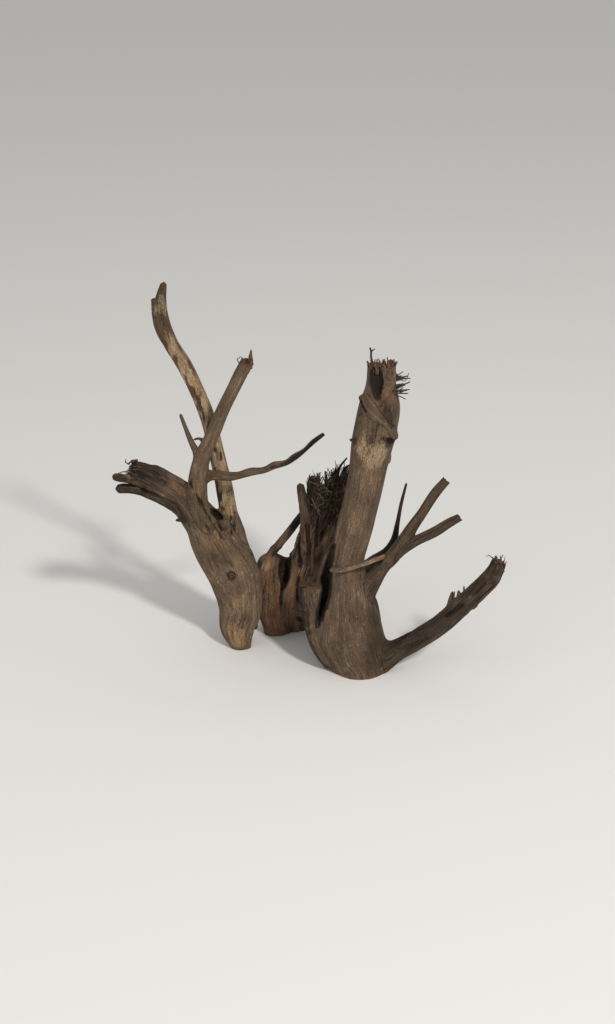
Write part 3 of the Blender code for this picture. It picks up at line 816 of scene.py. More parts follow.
# %% Drop the scraps
def drop_scraps(mesh):
    """Keeps the largest connected group of points, and returns how many others there were."""
    work = bmesh.new()
    work.from_mesh(mesh)
    left = set(work.verts)
    groups = []
    while left:
        group = [left.pop()]
        for vertex in group:
            for edge in vertex.link_edges:
                other = edge.other_vert(vertex)
                if other in left:
                    left.remove(other)
                    group.append(other)
        groups.append(group)
    groups.sort(key=len)
    for group in groups[:-1]:
        bmesh.ops.delete(work, geom=group, context="VERTS")
    work.to_mesh(mesh)
    work.free()
    return len(groups) - 1


print(drop_scraps(body.data), "scraps dropped")
triangles = sum(len(face.vertices) - 2 for face in body.data.polygons)
print("body:", len(body.data.vertices), "points and", triangles, "triangles")

# %% [markdown]
# ## Softer joints
# The union leaves a sharp crease where two thick limbs meet. Wood fills such a corner as it grows.
# Each point near a crease moves a little towards the middle of its neighbours, again and again. A
# Smooth modifier with a vertex group would do the same, but its weights have to be painted.

# %% Soften the creases
THICK = 9.0
CREASE_REACH = 14.0
CREASE_WIDTH = (3.0, 13.0)
KEPT_RIM = (1.0, 4.0)
SOFT_SHARE = 0.6
SOFT_ROUNDS = 40


def mesh_points(mesh):
    """The mesh's points in millimetres."""
    values = np.empty(len(mesh.vertices) * 3, np.float32)
    mesh.vertices.foreach_get("co", values)
    return values.reshape(-1, 3).astype(float) / MM


def crease_weight(points):
    """1 where the skins of two thick limbs meet, and 0 away from there."""
    nearest = np.full(len(points), 1e3)
    second = np.full(len(points), 1e3)
    thin = np.full(len(points), 1e3)
    for limb in limbs.values():
        gap, _, _ = limb.near(points, CREASE_REACH)
        if limb.thickness < THICK:
            thin = np.minimum(thin, gap)
            continue
        second = np.minimum(second, np.maximum(nearest, gap))
        nearest = np.minimum(nearest, gap)
    weight = 1.0 - ramp(second - nearest, *CREASE_WIDTH)
    for hollow in hollows:
        gap, _, _ = hollow.near(points, 6.0)
        weight *= ramp(gap, *KEPT_RIM)
    return weight * ramp(thin, *KEPT_RIM) * ramp(points[:, 2], 1.0, 5.0)


def soften(mesh):
    """Moves the points near creases towards their neighbours, and returns how many moved."""
    points = mesh_points(mesh)
    weight = crease_weight(points)[:, None] * SOFT_SHARE
    ends = np.empty(len(mesh.edges) * 2, np.int32)
    mesh.edges.foreach_get("vertices", ends)
    first, last = ends[0::2], ends[1::2]
    count = np.maximum(np.bincount(ends, minlength=len(points)), 1)[:, None]
    for _ in range(SOFT_ROUNDS):
        total = np.empty_like(points)
        for axis in range(3):
            total[:, axis] = np.bincount(first, points[last, axis], len(points))
            total[:, axis] += np.bincount(last, points[first, axis], len(points))
        points += weight * (total / count - points)
    mesh.vertices.foreach_set("co", (points * MM).astype(np.float32).ravel())
    mesh.update()
    return int((weight > SOFT_SHARE / 2).sum())


print(soften(body.data), "points were softened")

# %% [markdown]
# ## Tones of places
# Wood is darkest where it is torn, red where bark came off late, and pale where it was scraped.
# Patches also paint shade and cast shadows into hollows, gaps and the far sides of limbs, and darken
# some places further. Vertex paint would do for such patches. Here each is a soft ball with a middle,
# a reach and a strength, which can be read and moved like any other number, and the shader makes its
# edge ragged.

# %% Patches of tone
PATCHES = {
    # x, y, z, reach and strength
    "pale": [
        # scraped collar of the trunk, foot of the slanting branch, face of the slab
        (0, 14, 293, 14, 0.8), (12, 9, 287, 20, 1.0), (24, 12, 282, 15, 0.8),
        (-117, 104, 96, 11, 0.9),
        (-56, 4, 98, 14, 0.4),
    ],
    "gold": [(-150, 45, 22, 34, 0.6), (-148, 46, 60, 30, 0.35), (-172, 48, 110, 40, 0.2)],
    "red": [
        # lobe and middle stem
        (-106, 95, 20, 34, 0.8), (-98, 92, 50, 30, 0.6), (-80, 90, 40, 40, 0.8), (-58, 80, 120, 30, 0.5),
        # broken ends
        (-304, 44, 244, 7, 0.9), (-302, 44, 227, 8, 0.9), (172, -22, 158, 18, 0.9), (33, 18, 352, 20, 0.5),
        # left stem and its foot
        (-210, 52, 215, 34, 0.3), (-232, 52, 226, 24, 0.25), (-178, 50, 150, 40, 0.25),
        (-137, 60, 6, 12, 0.9), (-130, 88, 18, 14, 0.9),
    ],
    # painted shade and shadows, and some plain darkening, multiplied into the colour
    "painted_shade_and_darkening": [
        # painted shadow of the fork limb on the right-hand side of the foot
        (27, 2, 70, 32, 1.0), (29, -10, 46, 32, 1.0), (20, -24, 24, 30, 0.85), (-5, -24, 46, 70, 0.4),
        # painted shadow on the slanting branch and the middle stem
        (-81, 119, 151, 10, 1.0), (-72, 122, 162, 10, 1.0), (-80, 100, 166, 12, 0.9),
        (-38, 60, 120, 26, 0.6),
        # painted shade on the left edge of the slab
        (-74, 12, 104, 8, 1.0), (-74, 11, 94, 8, 1.0), (-73, 8, 85, 8, 1.0), (-71, 4, 75, 8, 1.0),
        (-69, 2, 65, 8, 1.0),
        # darkening of the hooked root, the trunk's top and the tip of the tall branch
        (-262, 52, 245, 50, 0.4), (-220, 56, 205, 36, 0.3), (22, 18, 345, 40, 0.2),
        (-243, 119, 430, 46, 0.5), (-244, 119, 462, 20, 0.4),
    ],
    "dark": [
        # painted shade in the hollow of the crown and on the side of the trunk's top
        (10.5, 30, 381, 8, 1.5), (10, 31, 373, 6, 1.3), (12, 24, 374, 15, 1.0), (38, 14, 335, 20, 0.6),
        (36, 18, 297, 8, 1.1),
        # bundle of rootlets
        (-40, 84, 200, 36, 1.0), (-56, 84, 222, 30, 1.0), (-26, 90, 234, 36, 1.0),
        # middle stem: painted shade in its cracks, and painted shadow in the gap beside the trunk
        (-80, 100, 166, 12, 1.2), (-75, 91, 130, 5, 1.4), (-73.5, 87, 112, 5, 1.4), (-58, 72, 132, 8, 0.8),
        (-74, 84, 50, 9, 1.0), (-30, 52, 120, 12, 1.2),
        # painted shadow on the slanting branch's upper part
        (-82, 120, 148, 8, 1.3), (-78, 122, 154, 9, 1.4), (-68, 124, 164, 9, 1.4),
        # painted shade on the top of the lobe and in the pit beside it
        (-94, 100, 98, 12, 1.2), (-98, 108, 112, 10, 1.4), (-104, 120, 112, 14, 1.4),
        (-130, 104, 98, 9, 1.3),
        # painted shade on the left edge of the slab
        (-72, 13, 104, 8, 1.4), (-71.5, 10.5, 95, 8, 1.4), (-70, 8.5, 86, 8, 1.4), (-71, 4, 76, 7, 1.3),
        (-66, 4, 74, 7, 1.3), (-69, 2, 65, 7, 1.3), (-64, 0, 64, 7, 1.2), (-61, -4, 54, 6, 1.0),
        # painted shade in and round the left fork's pit, and below it on the left stem
        (-180, 68, 182, 10, 1.2), (-167, 62, 168, 9, 0.5), (-160, 76, 168, 5, 0.9), (-158, 66, 162, 5, 1.0),
        (-178, 56, 128, 26, 0.4), (-200, 50, 190, 26, 0.3),
        # hooked root and foot
        (-262, 50, 245, 34, 0.6), (-230, 60, 200, 30, 0.5), (20, -20, 30, 34, 0.3),
    ],
}
print({tone: len(spots) for tone, spots in PATCHES.items()})

# %% [markdown]
# ## Tones of limbs
# Each limb weathered in its own way: the tall branch stayed golden, the bundle went black, the lobes
# turned red. A material for each limb would show a seam at every joint. A share of each tone, faded
# from limb to limb by distance, has none.

# %% Tones of the limbs
LIMB_TONES = {
    "red": {
        "middle_lobe": 0.6, "middle_stem": 0.4, "middle_skirt": 0.7, "crown_web": 0.5, "left_stem": 0.15,
        "low_branch": 0.2, "prong_lower": 0.25, "prong_upper": 0.1, "front_spike": 0.5, "shard": 0.35,
        "slanting_branch": 0.2, "thin_branch": 0.35,
    },
    # rear_limb, right_shoulder, slab_strip and right_lobe lie in shade, and their dark shares are painted
    # shade
    "dark": {
        "bundle_clump": 1.0, "shard": 0.25, "middle_stem": 0.22, "crown_web": 0.5, "left_shoulder": 0.3,
        "right_shoulder": 0.6, "right_lobe": 0.3, "foot_web": 0.15, "slab": 0.25, "slab_strip": 0.5,
        "low_branch": 0.6, "fork_limb": 0.42, "fork_lower": 0.42, "rear_limb": 1.2, "slanting_branch": 0.2,
        "thin_branch": 0.42, "left_twig": 0.35, "tip_stub": 0.3, "band": 0.25, "trunk_thorn": 1.2,
        "left_flap": 1.2, "prong_upper": 0.9, "prong_lower": 0.8,
    },
    # right_lobe's share is the painted shadow of the fork limb; the other shares darken their limbs
    "painted_shade_and_darkening": {
        "bundle_clump": 0.7, "band": 0.25, "right_lobe": 0.9, "foot_web": 0.2, "slab": 0.3,
        "middle_skirt": 0.1, "fork_limb": 0.25, "fork_lower": 0.2, "low_branch": 0.12, "left_twig": 0.2,
        "prong_upper": 0.3, "prong_lower": 0.3,
    },
    "pale": {"cross_twig": 0.12},
    "gold": {"tall_branch": 0.72, "tip_stub": 0.2},
}
TONE_FADE = 2.5
TONE_REACH = 16.0


def tone_shares(points):
    """The limbs' tones at each point, fading from one limb to the next where they meet."""
    total = np.full(len(points), 1e-9)
    tones = {tone: np.zeros(len(points)) for tone in LIMB_TONES}
    for name, limb in limbs.items():
        gap, _, _ = limb.near(points, TONE_REACH)
        weight = np.exp(-np.clip(gap, -4.0, 40.0) / TONE_FADE)
        total += weight
        for tone, shares in LIMB_TONES.items():
            tones[tone] += weight * shares.get(name, 0.0)
    return {tone: values / total for tone, values in tones.items()}


print({tone: len(shares) for tone, shares in LIMB_TONES.items()})

# %% [markdown]
# ## Shreds of bark
# The tall branch still carries thin reddish bark, mostly on its left, and pale bare wood between the
# shreds. Two noises make them: one is ragged and leans to the left by the way out from the heart, the
# other lightens what is left. A painted mask would have to be drawn again whenever the branch moved.

# %% Shreds of bark
BARK_HEIGHTS = (168, 190)
THINNER_BARK = (250, 330)
BARK_SIZE, BARK_EDGE_SIZE, BARE_SIZE = (6.0, 6.0, 17.0), (2.5, 2.5, 6.0), (5.0, 5.0, 20.0)
BARK_SEED = 411


def old_bark(points, out):
    """How much bark and how much bare pale wood each point of the tall branch shows."""
    gap, _, _ = limbs["tall_branch"].near(points, 6.0)
    here = (1.0 - ramp(gap, 1.5, 5.0)) * ramp(points[:, 2], *BARK_HEIGHTS)
    low = 1.0 - 0.4 * ramp(points[:, 2], *THINNER_BARK)
    ragged = noise(points / BARK_SIZE, BARK_SEED) + 0.4 * noise(points / BARK_EDGE_SIZE, BARK_SEED + 1)
    bark = ramp(ragged - 0.45 * out[:, 0], 0.0, 0.45)
    bare = ramp(noise(points / BARE_SIZE, BARK_SEED + 2), 0.0, 0.4) * (1.0 - bark)
    return bark * here * low, 1.25 * bare * here * low


print("bark shreds are about", BARK_SIZE[2], "mm long")

# %% [markdown]
# ## What the wood remembers
# Each point of the skin keeps the numbers that its colour is made from: its place in the grain, how
# worn it is, and how much it is torn, red, dark or golden. They are stored as named attributes, so
# the shader reads them straight from the mesh and needs no unwrapping.

# %% Attributes
TORN_REACH = 1.8
OWN_REACH = 12.0
KNOT = (-160.0, 48.0, 108.0)
KNOT_REACH = 20.0
GRAIN_OFFSET = 700.0
MASKS = ("worn", "crack", "rough", "torn", "red", "dark", "pale", "gold", "painted_shade_and_darkening", "knot")


def nearest_limb(points):
    """Index of the nearest limb, the way out from it and the place along it, for each point."""
    best = np.full(len(points), np.inf)
    which = np.zeros(len(points), int)
    out = np.zeros((len(points), 3))
    place = np.zeros(len(points))
    for index, limb in enumerate(limbs.values()):
        gap, way, spot = limb.near(points, OWN_REACH)
        closer = gap < best
        best[closer] = gap[closer]
        which[closer] = index
        out[closer] = way[closer]
        place[closer] = spot[closer]
    return which, out, place


def store(mesh, name, values):
    """Saves one number or one vector per point as a named attribute."""
    kind = "FLOAT_VECTOR" if values.ndim == 2 else "FLOAT"
    key = "vector" if values.ndim == 2 else "value"
    attribute = mesh.attributes.new(name, kind, "POINT")
    attribute.data.foreach_set(key, values.astype(np.float32).ravel())


def describe_grain(points, which, out, place, masks):
    """Fills the masks that come from the relief, and returns each point's place in the grain."""
    grain = np.zeros((len(points), 3))
    for index, (name, limb) in enumerate(limbs.items()):
        mine = which == index
        if not mine.any():
            continue
        angle = limb.angle(out[mine], place[mine])
        guide, spot, angle = grain_frame(limb, points[mine], place[mine], angle)
        grain[mine] = grain_place(guide, spot, angle, 1.0, 1.0) + (0.0, 0.0, GRAIN_OFFSET * guide.seed)
        _, masks["worn"][mine], masks["crack"][mine] = relief(guide, spot, angle)
        masks["rough"][mine] = roughness(guide, spot)
        if name in TORN_ENDS:
            reach = TORN_REACH * TORN_ENDS[name]
            masks["torn"][mine] = ramp(place[mine], limb.at[-1] - reach, limb.at[-1] - 0.3 * reach)
    return grain


def describe_tones(points, out, masks):
    """Adds height, bark, marks, patches and hollows to the tone masks."""
    height = points[:, 2]
    masks["gold"] *= ramp(height, 160, 190) * (1.0 - 0.85 * ramp(height, 375, 420))
    masks["red"] = np.maximum(masks["red"], 0.9 * (1.0 - ramp(height, 2.0, 5.5)))
    bark, bare = old_bark(points, out)
    masks["red"] = np.maximum(masks["red"], bark)
    masks["dark"] = np.maximum(masks["dark"], 0.7 * bark)
    masks["gold"] *= 1.0 - 0.8 * bark
    masks["pale"] = np.maximum(masks["pale"], bare)
    # the marks' darkness, which paints shade into their grooves, joins the crack mask
    masks["crack"] = np.maximum(masks["crack"], marked(points)[1])
    for tone, spots in PATCHES.items():
        for x, y, z, reach, strength in spots:
            distance = np.linalg.norm(points - (x, y, z), axis=1)
            patch = strength * (1.0 - ramp(distance, 0.2 * reach, 1.2 * reach))
            masks[tone] = np.maximum(masks[tone], patch)
    # inside each hollow the colour is darkened as painted shade
    for hollow in hollows:
        gap, _, _ = hollow.near(points, 4.0)
        inside = 1.0 - ramp(gap, 0.8, 2.2)
        masks["dark"] = np.maximum(masks["dark"], 1.2 * inside)
        masks["painted_shade_and_darkening"] = np.maximum(masks["painted_shade_and_darkening"], 0.8 * inside)
    masks["knot"] = np.minimum(np.linalg.norm(points - KNOT, axis=1), KNOT_REACH)


def describe(mesh):
    """Stores the wood's numbers on the body's points."""
    points = mesh_points(mesh)
    which, out, place = nearest_limb(points)
    masks = {name: np.zeros(len(points)) for name in MASKS}
    masks.update(tone_shares(points))
    store(mesh, "grain_place", describe_grain(points, which, out, place, masks))
    describe_tones(points, out, masks)
    for name, values in masks.items():
        store(mesh, name, values)
    return masks


masks = describe(body.data)
print({name: round(float(values.mean()), 3) for name, values in masks.items()})

# %% [markdown]
# ## Short words for nodes
# Every material here is a chain of small nodes. Placing them by hand in the Shader Editor is good for
# trying things out. In a script, a few helpers that make one node each keep a chain readable, and a
# value can be a number or the output of another node.

# %% Node helpers
# Places of the colour sockets on a Mix node
COLOR_A, COLOR_B, COLOR_RESULT = 6, 7, 2


def new_group(name, inputs, outputs):
    """A shader node group with named sockets; returns the group and its two end nodes."""
    group = bpy.data.node_groups.new(name, "ShaderNodeTree")
    for label, kind, default in inputs:
        socket = group.interface.new_socket(label, in_out="INPUT", socket_type=kind)
        socket.default_value = default
    for label, kind in outputs:
        group.interface.new_socket(label, in_out="OUTPUT", socket_type=kind)
    return group, group.nodes.new("NodeGroupInput"), group.nodes.new("NodeGroupOutput")


def put(tree, socket, value):
    """Links an output to a socket, or sets the socket's value."""
    if isinstance(value, bpy.types.NodeSocket):
        tree.links.new(value, socket)
    else:
        socket.default_value = value


def math_node(tree, operation, first, second=0.0, third=0.0, clamp=False):
    """One Math node."""
    node = tree.nodes.new("ShaderNodeMath")
    node.operation = operation
    node.use_clamp = clamp
    for socket, value in zip(node.inputs, (first, second, third)):
        put(tree, socket, value)
    return node.outputs[0]


def scaled(tree, vector, scale):
    """A vector times a scale for each axis."""
    node = tree.nodes.new("ShaderNodeVectorMath")
    node.operation = "MULTIPLY"
    put(tree, node.inputs[0], vector)
    put(tree, node.inputs[1], scale)
    return node.outputs[0]


def noise_node(tree, vector, scale, detail, rough=0.5, swirl=0.0):
    """A noise texture at a place in the grain."""
    node = tree.nodes.new("ShaderNodeTexNoise")
    put(tree, node.inputs["Vector"], vector)
    put(tree, node.inputs["Scale"], scale)
    node.inputs["Detail"].default_value = detail
    node.inputs["Roughness"].default_value = rough
    node.inputs["Distortion"].default_value = swirl
    return node.outputs["Fac"]


def spread(tree, value, low, high):
    """Stretches the span low to high over 0 to 1, smoothly."""
    node = tree.nodes.new("ShaderNodeMapRange")
    node.interpolation_type = "SMOOTHSTEP"
    put(tree, node.inputs["Value"], value)
    put(tree, node.inputs["From Min"], low)
    put(tree, node.inputs["From Max"], high)
    return node.outputs["Result"]


def blend(tree, share, first, second, kind="MIX"):
    """Two colours mixed by a share."""
    node = tree.nodes.new("ShaderNodeMix")
    node.data_type = "RGBA"
    node.blend_type = kind
    put(tree, node.inputs["Factor"], share)
    put(tree, node.inputs[COLOR_A], first)
    put(tree, node.inputs[COLOR_B], second)
    return node.outputs[COLOR_RESULT]


def attribute(tree, name):
    """A number stored on the mesh, or its place in the grain."""
    node = tree.nodes.new("ShaderNodeAttribute")
    node.attribute_name = name
    return node.outputs["Vector"] if name == "grain_place" else node.outputs["Fac"]


def use_group(tree, group, values):
    """A group placed in a tree with its own values; returns its outputs."""
    node = tree.nodes.new("ShaderNodeGroup")
    node.node_tree = group
    for label, value in values.items():
        put(tree, node.inputs[label], value)
    return node.outputs


HALF = ("NodeSocketFloat", 0.5)
NONE = ("NodeSocketFloat", 0.0)
print("a mask's socket is", NONE)

# %% [markdown]
# ## The grain as masks
# Close up, old wood is fine fibre, broad streaks, specks, mottling, thin dark lines and pale flecks.
# One node group makes a mask for each, and every material uses it. Each is noise drawn out along the
# grain. An image of wood would do for a plank, but it can't follow a bent limb.

# %% Grain group
GRAIN_FIELDS = {
    # share of the size along the grain, fineness, detail, roughness, swirl, low and high
    "Fibre": (0.06, 0.85, 3.0, 0.5, 0.0, 0.28, 0.72),
    "Streak": (0.07, 0.24, 3.0, 0.5, 0.0, 0.28, 0.72),
    "Speck": (0.55, 0.75, 4.0, 0.65, 0.0, 0.28, 0.72),
    "Mottle": (0.45, 0.07, 3.0, 0.5, 0.0, 0.28, 0.72),
    "Curl": (0.5, 0.3, 3.0, 0.6, 2.0, 0.38, 0.58),
    "Fleck": (0.3, 0.62, 1.0, 0.5, 0.0, 0.64, 0.74),
    "Stain": (0.7, 0.045, 4.0, 0.6, 0.6, 0.38, 0.62),
}
SEAM_STRETCH, SEAM_FINENESS, SEAM_DETAIL = 0.05, 0.16, 1.5
SEAM_WIDTH = (0.002, 0.016)
SEAM_WHERE = (0.42, 0.6)


def grain_group():
    group, start, end = new_group(
        "wood_grain",
        [("Place", "NodeSocketVector", (0, 0, 0)), ("Fineness", "NodeSocketFloat", 1.0)],
        [(label, "NodeSocketFloat") for label in (*GRAIN_FIELDS, "Line")])

    def field(stretch, fineness, detail, rough=0.5, swirl=0.0):
        place = scaled(group, start.outputs["Place"], (1.0, 1.0, stretch))
        scale = math_node(group, "MULTIPLY", start.outputs["Fineness"], fineness)
        return noise_node(group, place, scale, detail, rough, swirl)

    fields = {label: field(*values[:-2]) for label, values in GRAIN_FIELDS.items()}
    for label, value in fields.items():
        low, high = GRAIN_FIELDS[label][-2:]
        put(group, end.inputs[label], spread(group, value, low, high))
    seam = field(SEAM_STRETCH, SEAM_FINENESS, SEAM_DETAIL)
    away = math_node(group, "ABSOLUTE", math_node(group, "SUBTRACT", seam, 0.5))
    thin = math_node(group, "SUBTRACT", 1.0, spread(group, away, *SEAM_WIDTH))
    line = math_node(group, "MULTIPLY", thin, spread(group, fields["Mottle"], *SEAM_WHERE))
    put(group, end.inputs["Line"], line)
    return group


GRAIN = grain_group()
print(GRAIN.name, "puts out", [label for label in (*GRAIN_FIELDS, "Line")])

# %% [markdown]
# ## Ragged patches and weathered tones
# A soft mask looks like a spray. Real stains end in ragged edges along the grain, so one group adds
# the grain to a mask before it is cut. The second group turns the grain and the relief into one
# lightness, and that into a colour between a dark, a middle and a pale tone.

# %% Patch and tone groups
PATCH_WEIGHTS = {"Mottle": 0.5, "Streak": 0.4, "Speck": 0.3}
PATCH_EDGE = (0.75, 1.3)
BASE_LIGHTNESS = -0.02
LIGHT_WEIGHTS = {"Fibre": 0.24, "Streak": 0.14, "Speck": 0.38, "Mottle": 0.29}
WORN_WEIGHT, LINE_WEIGHT, FLECK_WEIGHT, CRACK_WEIGHT = 0.2, -0.42, 0.3, -0.85
TONE_SOCKETS = {
    "Dark": (0.03, 0.02, 0.014, 1), "Middle": (0.12, 0.085, 0.06, 1), "Pale": (0.26, 0.2, 0.14, 1),
}


def patch_group():
    """Turns a soft mask into ragged patches of full strength."""
    group, start, end = new_group(
        "ragged_patch", [("Mask", *NONE)] + [(label, *HALF) for label in PATCH_WEIGHTS],
        [("Share", "NodeSocketFloat")])
    rough = start.outputs["Mask"]
    for label, weight in PATCH_WEIGHTS.items():
        rough = math_node(group, "MULTIPLY_ADD", start.outputs[label], weight, rough)
    put(group, end.inputs["Share"], spread(group, rough, *PATCH_EDGE))
    return group


def tone_group():
    """Turns the grain and the relief into a colour between three tones."""
    inputs = [(label, *HALF) for label in LIGHT_WEIGHTS]
    inputs += [("Line", *NONE), ("Fleck", *NONE), ("Rough", "NodeSocketFloat", 1.0), ("Worn", *NONE)]
    inputs += [("Crack", *NONE)] + [(label, "NodeSocketColor", tone) for label, tone in TONE_SOCKETS.items()]
    group, start, end = new_group(
        "weathered_tone", inputs, [("Color", "NodeSocketColor")])
    get = start.outputs
    light = BASE_LIGHTNESS
    for label, weight in LIGHT_WEIGHTS.items():
        light = math_node(group, "MULTIPLY_ADD", get[label], weight, light)
    worn = math_node(group, "MULTIPLY", get["Worn"], get["Rough"])
    light = math_node(group, "MULTIPLY_ADD", worn, WORN_WEIGHT, light)
    line = math_node(group, "MULTIPLY", get["Line"], get["Rough"])
    light = math_node(group, "MULTIPLY_ADD", line, LINE_WEIGHT, light)
    light = math_node(group, "MULTIPLY_ADD", get["Fleck"], FLECK_WEIGHT, light)
    # the crack mask darkens splits, the marks' grooves and the knot's rings; in the splits and grooves this
    # is painted shade
    light = math_node(group, "MULTIPLY_ADD", get["Crack"], CRACK_WEIGHT, light, clamp=True)
    low = blend(group, spread(group, light, 0.05, 0.5), get["Dark"], get["Middle"])
    put(group, end.inputs["Color"], blend(group, spread(group, light, 0.5, 1.0), low, get["Pale"]))
    return group


PATCH, TONE = patch_group(), tone_group()
print("groups:", PATCH.name, TONE.name)

# %% [markdown]
# ## Fibres too fine to model, and the knot
# Fibres below half a millimetre would need millions of faces, so a Bump node raises them instead. The
# knot on the left stem is the base of a lost twig: dark rings round a dark eye. They are drawn by the
# distance to its middle, which the mesh carries, so they need no texture of their own.

# %% Bump and knot groups
BUMP_STRENGTH = 0.9
SPECK_HEIGHT = 0.6
KNOT_RING_SHAPES = (
    # radius and width in millimetres, and depth
    (0.4, 1.5, 1.0), (4.9, 1.2, 1.0), (3.0, 0.6, 0.4), (7.4, 0.7, 0.35),
)


def bump_group():
    """Raises the fine fibres and specks."""
    group, start, end = new_group(
        "fibre_bump", [("Fibre", *HALF), ("Speck", *HALF), ("Depth", "NodeSocketFloat", 0.0004)],
        [("Normal", "NodeSocketVector")])
    height = math_node(group, "MULTIPLY_ADD", start.outputs["Speck"], SPECK_HEIGHT, start.outputs["Fibre"])
    bump = group.nodes.new("ShaderNodeBump")
    put(group, bump.inputs["Height"], height)
    put(group, bump.inputs["Distance"], start.outputs["Depth"])
    bump.inputs["Strength"].default_value = BUMP_STRENGTH
    put(group, end.inputs["Normal"], bump.outputs["Normal"])
    return group


def knot_group():
    """Dark rings round a knot, from the distance to its middle in millimetres."""
    group, start, end = new_group(
        "knot_rings", [("Distance", "NodeSocketFloat", KNOT_REACH), ("Speck", *HALF)],
        [("Groove", "NodeSocketFloat")])
    wavy = math_node(group, "MULTIPLY_ADD", start.outputs["Speck"], 0.5, start.outputs["Distance"])
    groove = 0.0
    for radius, width, depth in KNOT_RING_SHAPES:
        away = math_node(group, "ABSOLUTE", math_node(group, "SUBTRACT", wavy, radius))
        ring = math_node(group, "SUBTRACT", 1.0, spread(group, away, 0.3 * width, 1.2 * width))
        groove = math_node(group, "MAXIMUM", groove, math_node(group, "MULTIPLY", ring, depth))
    put(group, end.inputs["Groove"], groove)
    return group


BUMP, KNOT_RINGS = bump_group(), knot_group()
print("groups:", BUMP.name, KNOT_RINGS.name)

# %% [markdown]
# ## The skin's material
# The skin is grey-brown, and turns golden, red, pale, torn or nearly black where the masks say so.
# Where shade and shadows are painted in, and where some limbs are darkened, it is the same wood, only
# darker. Several materials with assigned faces would leave hard borders. One material that blends its
# tones by masks keeps every border soft and ragged.

# %% Material of the skin
TONES = {
    # dark, middle and pale
    "skin": ((0.022, 0.014, 0.009, 1), (0.130, 0.088, 0.057, 1), (0.31, 0.228, 0.150, 1)),
    "gold": ((0.05, 0.028, 0.014, 1), (0.27, 0.185, 0.105, 1), (0.56, 0.43, 0.28, 1)),
    "red": ((0.026, 0.013, 0.007, 1), (0.165, 0.090, 0.051, 1), (0.33, 0.20, 0.12, 1)),
    "dark": ((0.009, 0.006, 0.0045, 1), (0.045, 0.031, 0.021, 1), (0.13, 0.092, 0.062, 1)),
    "pale": ((0.07, 0.046, 0.028, 1), (0.38, 0.285, 0.18, 1), (0.66, 0.53, 0.36, 1)),
    "grey": ((0.014, 0.010, 0.008, 1), (0.06, 0.042, 0.031, 1), (0.2, 0.145, 0.105, 1)),
    "torn": ((0.026, 0.014, 0.009, 1), (0.125, 0.070, 0.045, 1), (0.30, 0.19, 0.125, 1)),
}
# the tone multiplied in where shade and shadows are painted and where limbs are darkened
PAINTED_SHADE_AND_DARKENING_TONE = (0.32, 0.30, 0.28, 1)
PAINTED_SHADE_AND_DARKENING_SHARE = 0.9
STAIN_RED, STAIN_GREEN = (1.07, 0.985, 0.93, 1), (0.95, 0.985, 0.965, 1)
STAIN_SHARE = 0.8
SKIN_BUMP = 0.0007


def wood_shader(name, rough=0.82, specular=0.25):
    """A dull material with its tree and its shader."""
    material = bpy.data.materials.new(name)
    material.use_nodes = True
    shader = material.node_tree.nodes["Principled BSDF"]
    shader.inputs["Roughness"].default_value = rough
    shader.inputs["Specular IOR Level"].default_value = specular
    return material, material.node_tree, shader


def toned(tree, grain, worn, crack, tone, rough=1.0):
    """The wood's colour in one family of tones."""
    dark, middle, pale = TONES[tone]
    values = {label: grain[label] for label in (*LIGHT_WEIGHTS, "Line", "Fleck")}
    values.update({"Rough": rough, "Worn": worn, "Crack": crack})
    values.update({"Dark": dark, "Middle": middle, "Pale": pale})
    return use_group(tree, TONE, values)["Color"]


def skin_material():
    material, tree, shader = wood_shader("weathered_skin")
    grain = use_group(tree, GRAIN, {"Place": attribute(tree, "grain_place")})
    worn, crack, rough = attribute(tree, "worn"), attribute(tree, "crack"), attribute(tree, "rough")
    rings = use_group(tree, KNOT_RINGS, {"Distance": attribute(tree, "knot"), "Speck": grain["Speck"]})
    crack = math_node(tree, "MAXIMUM", crack, rings["Groove"])
    color = toned(tree, grain, worn, crack, "skin", rough)
    for tone in ("gold", "red", "pale", "torn", "dark"):
        ragged = {label: grain[label] for label in PATCH_WEIGHTS}
        share = use_group(tree, PATCH, {"Mask": attribute(tree, tone), **ragged})["Share"]
        if tone == "pale":
            curled = math_node(tree, "MULTIPLY_ADD", grain["Curl"], 0.75, 0.25)
            share = math_node(tree, "MULTIPLY", share, curled)
        color = blend(tree, share, color, toned(tree, grain, worn, crack, tone, rough))
    stain = blend(tree, grain["Stain"], STAIN_GREEN, STAIN_RED)
    color = blend(tree, STAIN_SHARE, color, stain, "MULTIPLY")
    # painted shade and shadows, and plain darkening, multiplied into the colour
    painted_shade_and_darkening = math_node(tree, "MULTIPLY", attribute(tree, "painted_shade_and_darkening"), PAINTED_SHADE_AND_DARKENING_SHARE)
    color = blend(tree, painted_shade_and_darkening, color, PAINTED_SHADE_AND_DARKENING_TONE, "MULTIPLY")
    put(tree, shader.inputs["Base Color"], color)
    bump = use_group(tree, BUMP, {"Fibre": grain["Fibre"], "Speck": grain["Speck"], "Depth": SKIN_BUMP})
    put(tree, shader.inputs["Normal"], bump["Normal"])
    return material


skin = skin_material()
print(skin.name, "has", len(skin.node_tree.nodes), "nodes")

# %% [markdown]
# ## Fibres and cut feet
# Torn fibres are redder than the skin, since the sun has not greyed them yet, and rootlets are
# almost black. The sawn feet show growth rings: a wave of the distance to the limb's heart, a
# little disturbed. A wave texture draws rings too, but only round one axis.

# %% Materials of fibres and feet
STRAND_FINENESS, CUT_FINENESS = 1.6, 2.2
STRAND_BUMP = 0.0003
STRAND_WORN = 0.1
RINGS_PER_MM, RING_WOBBLE, RING_DEPTH = 4.2, 5.0, 0.9


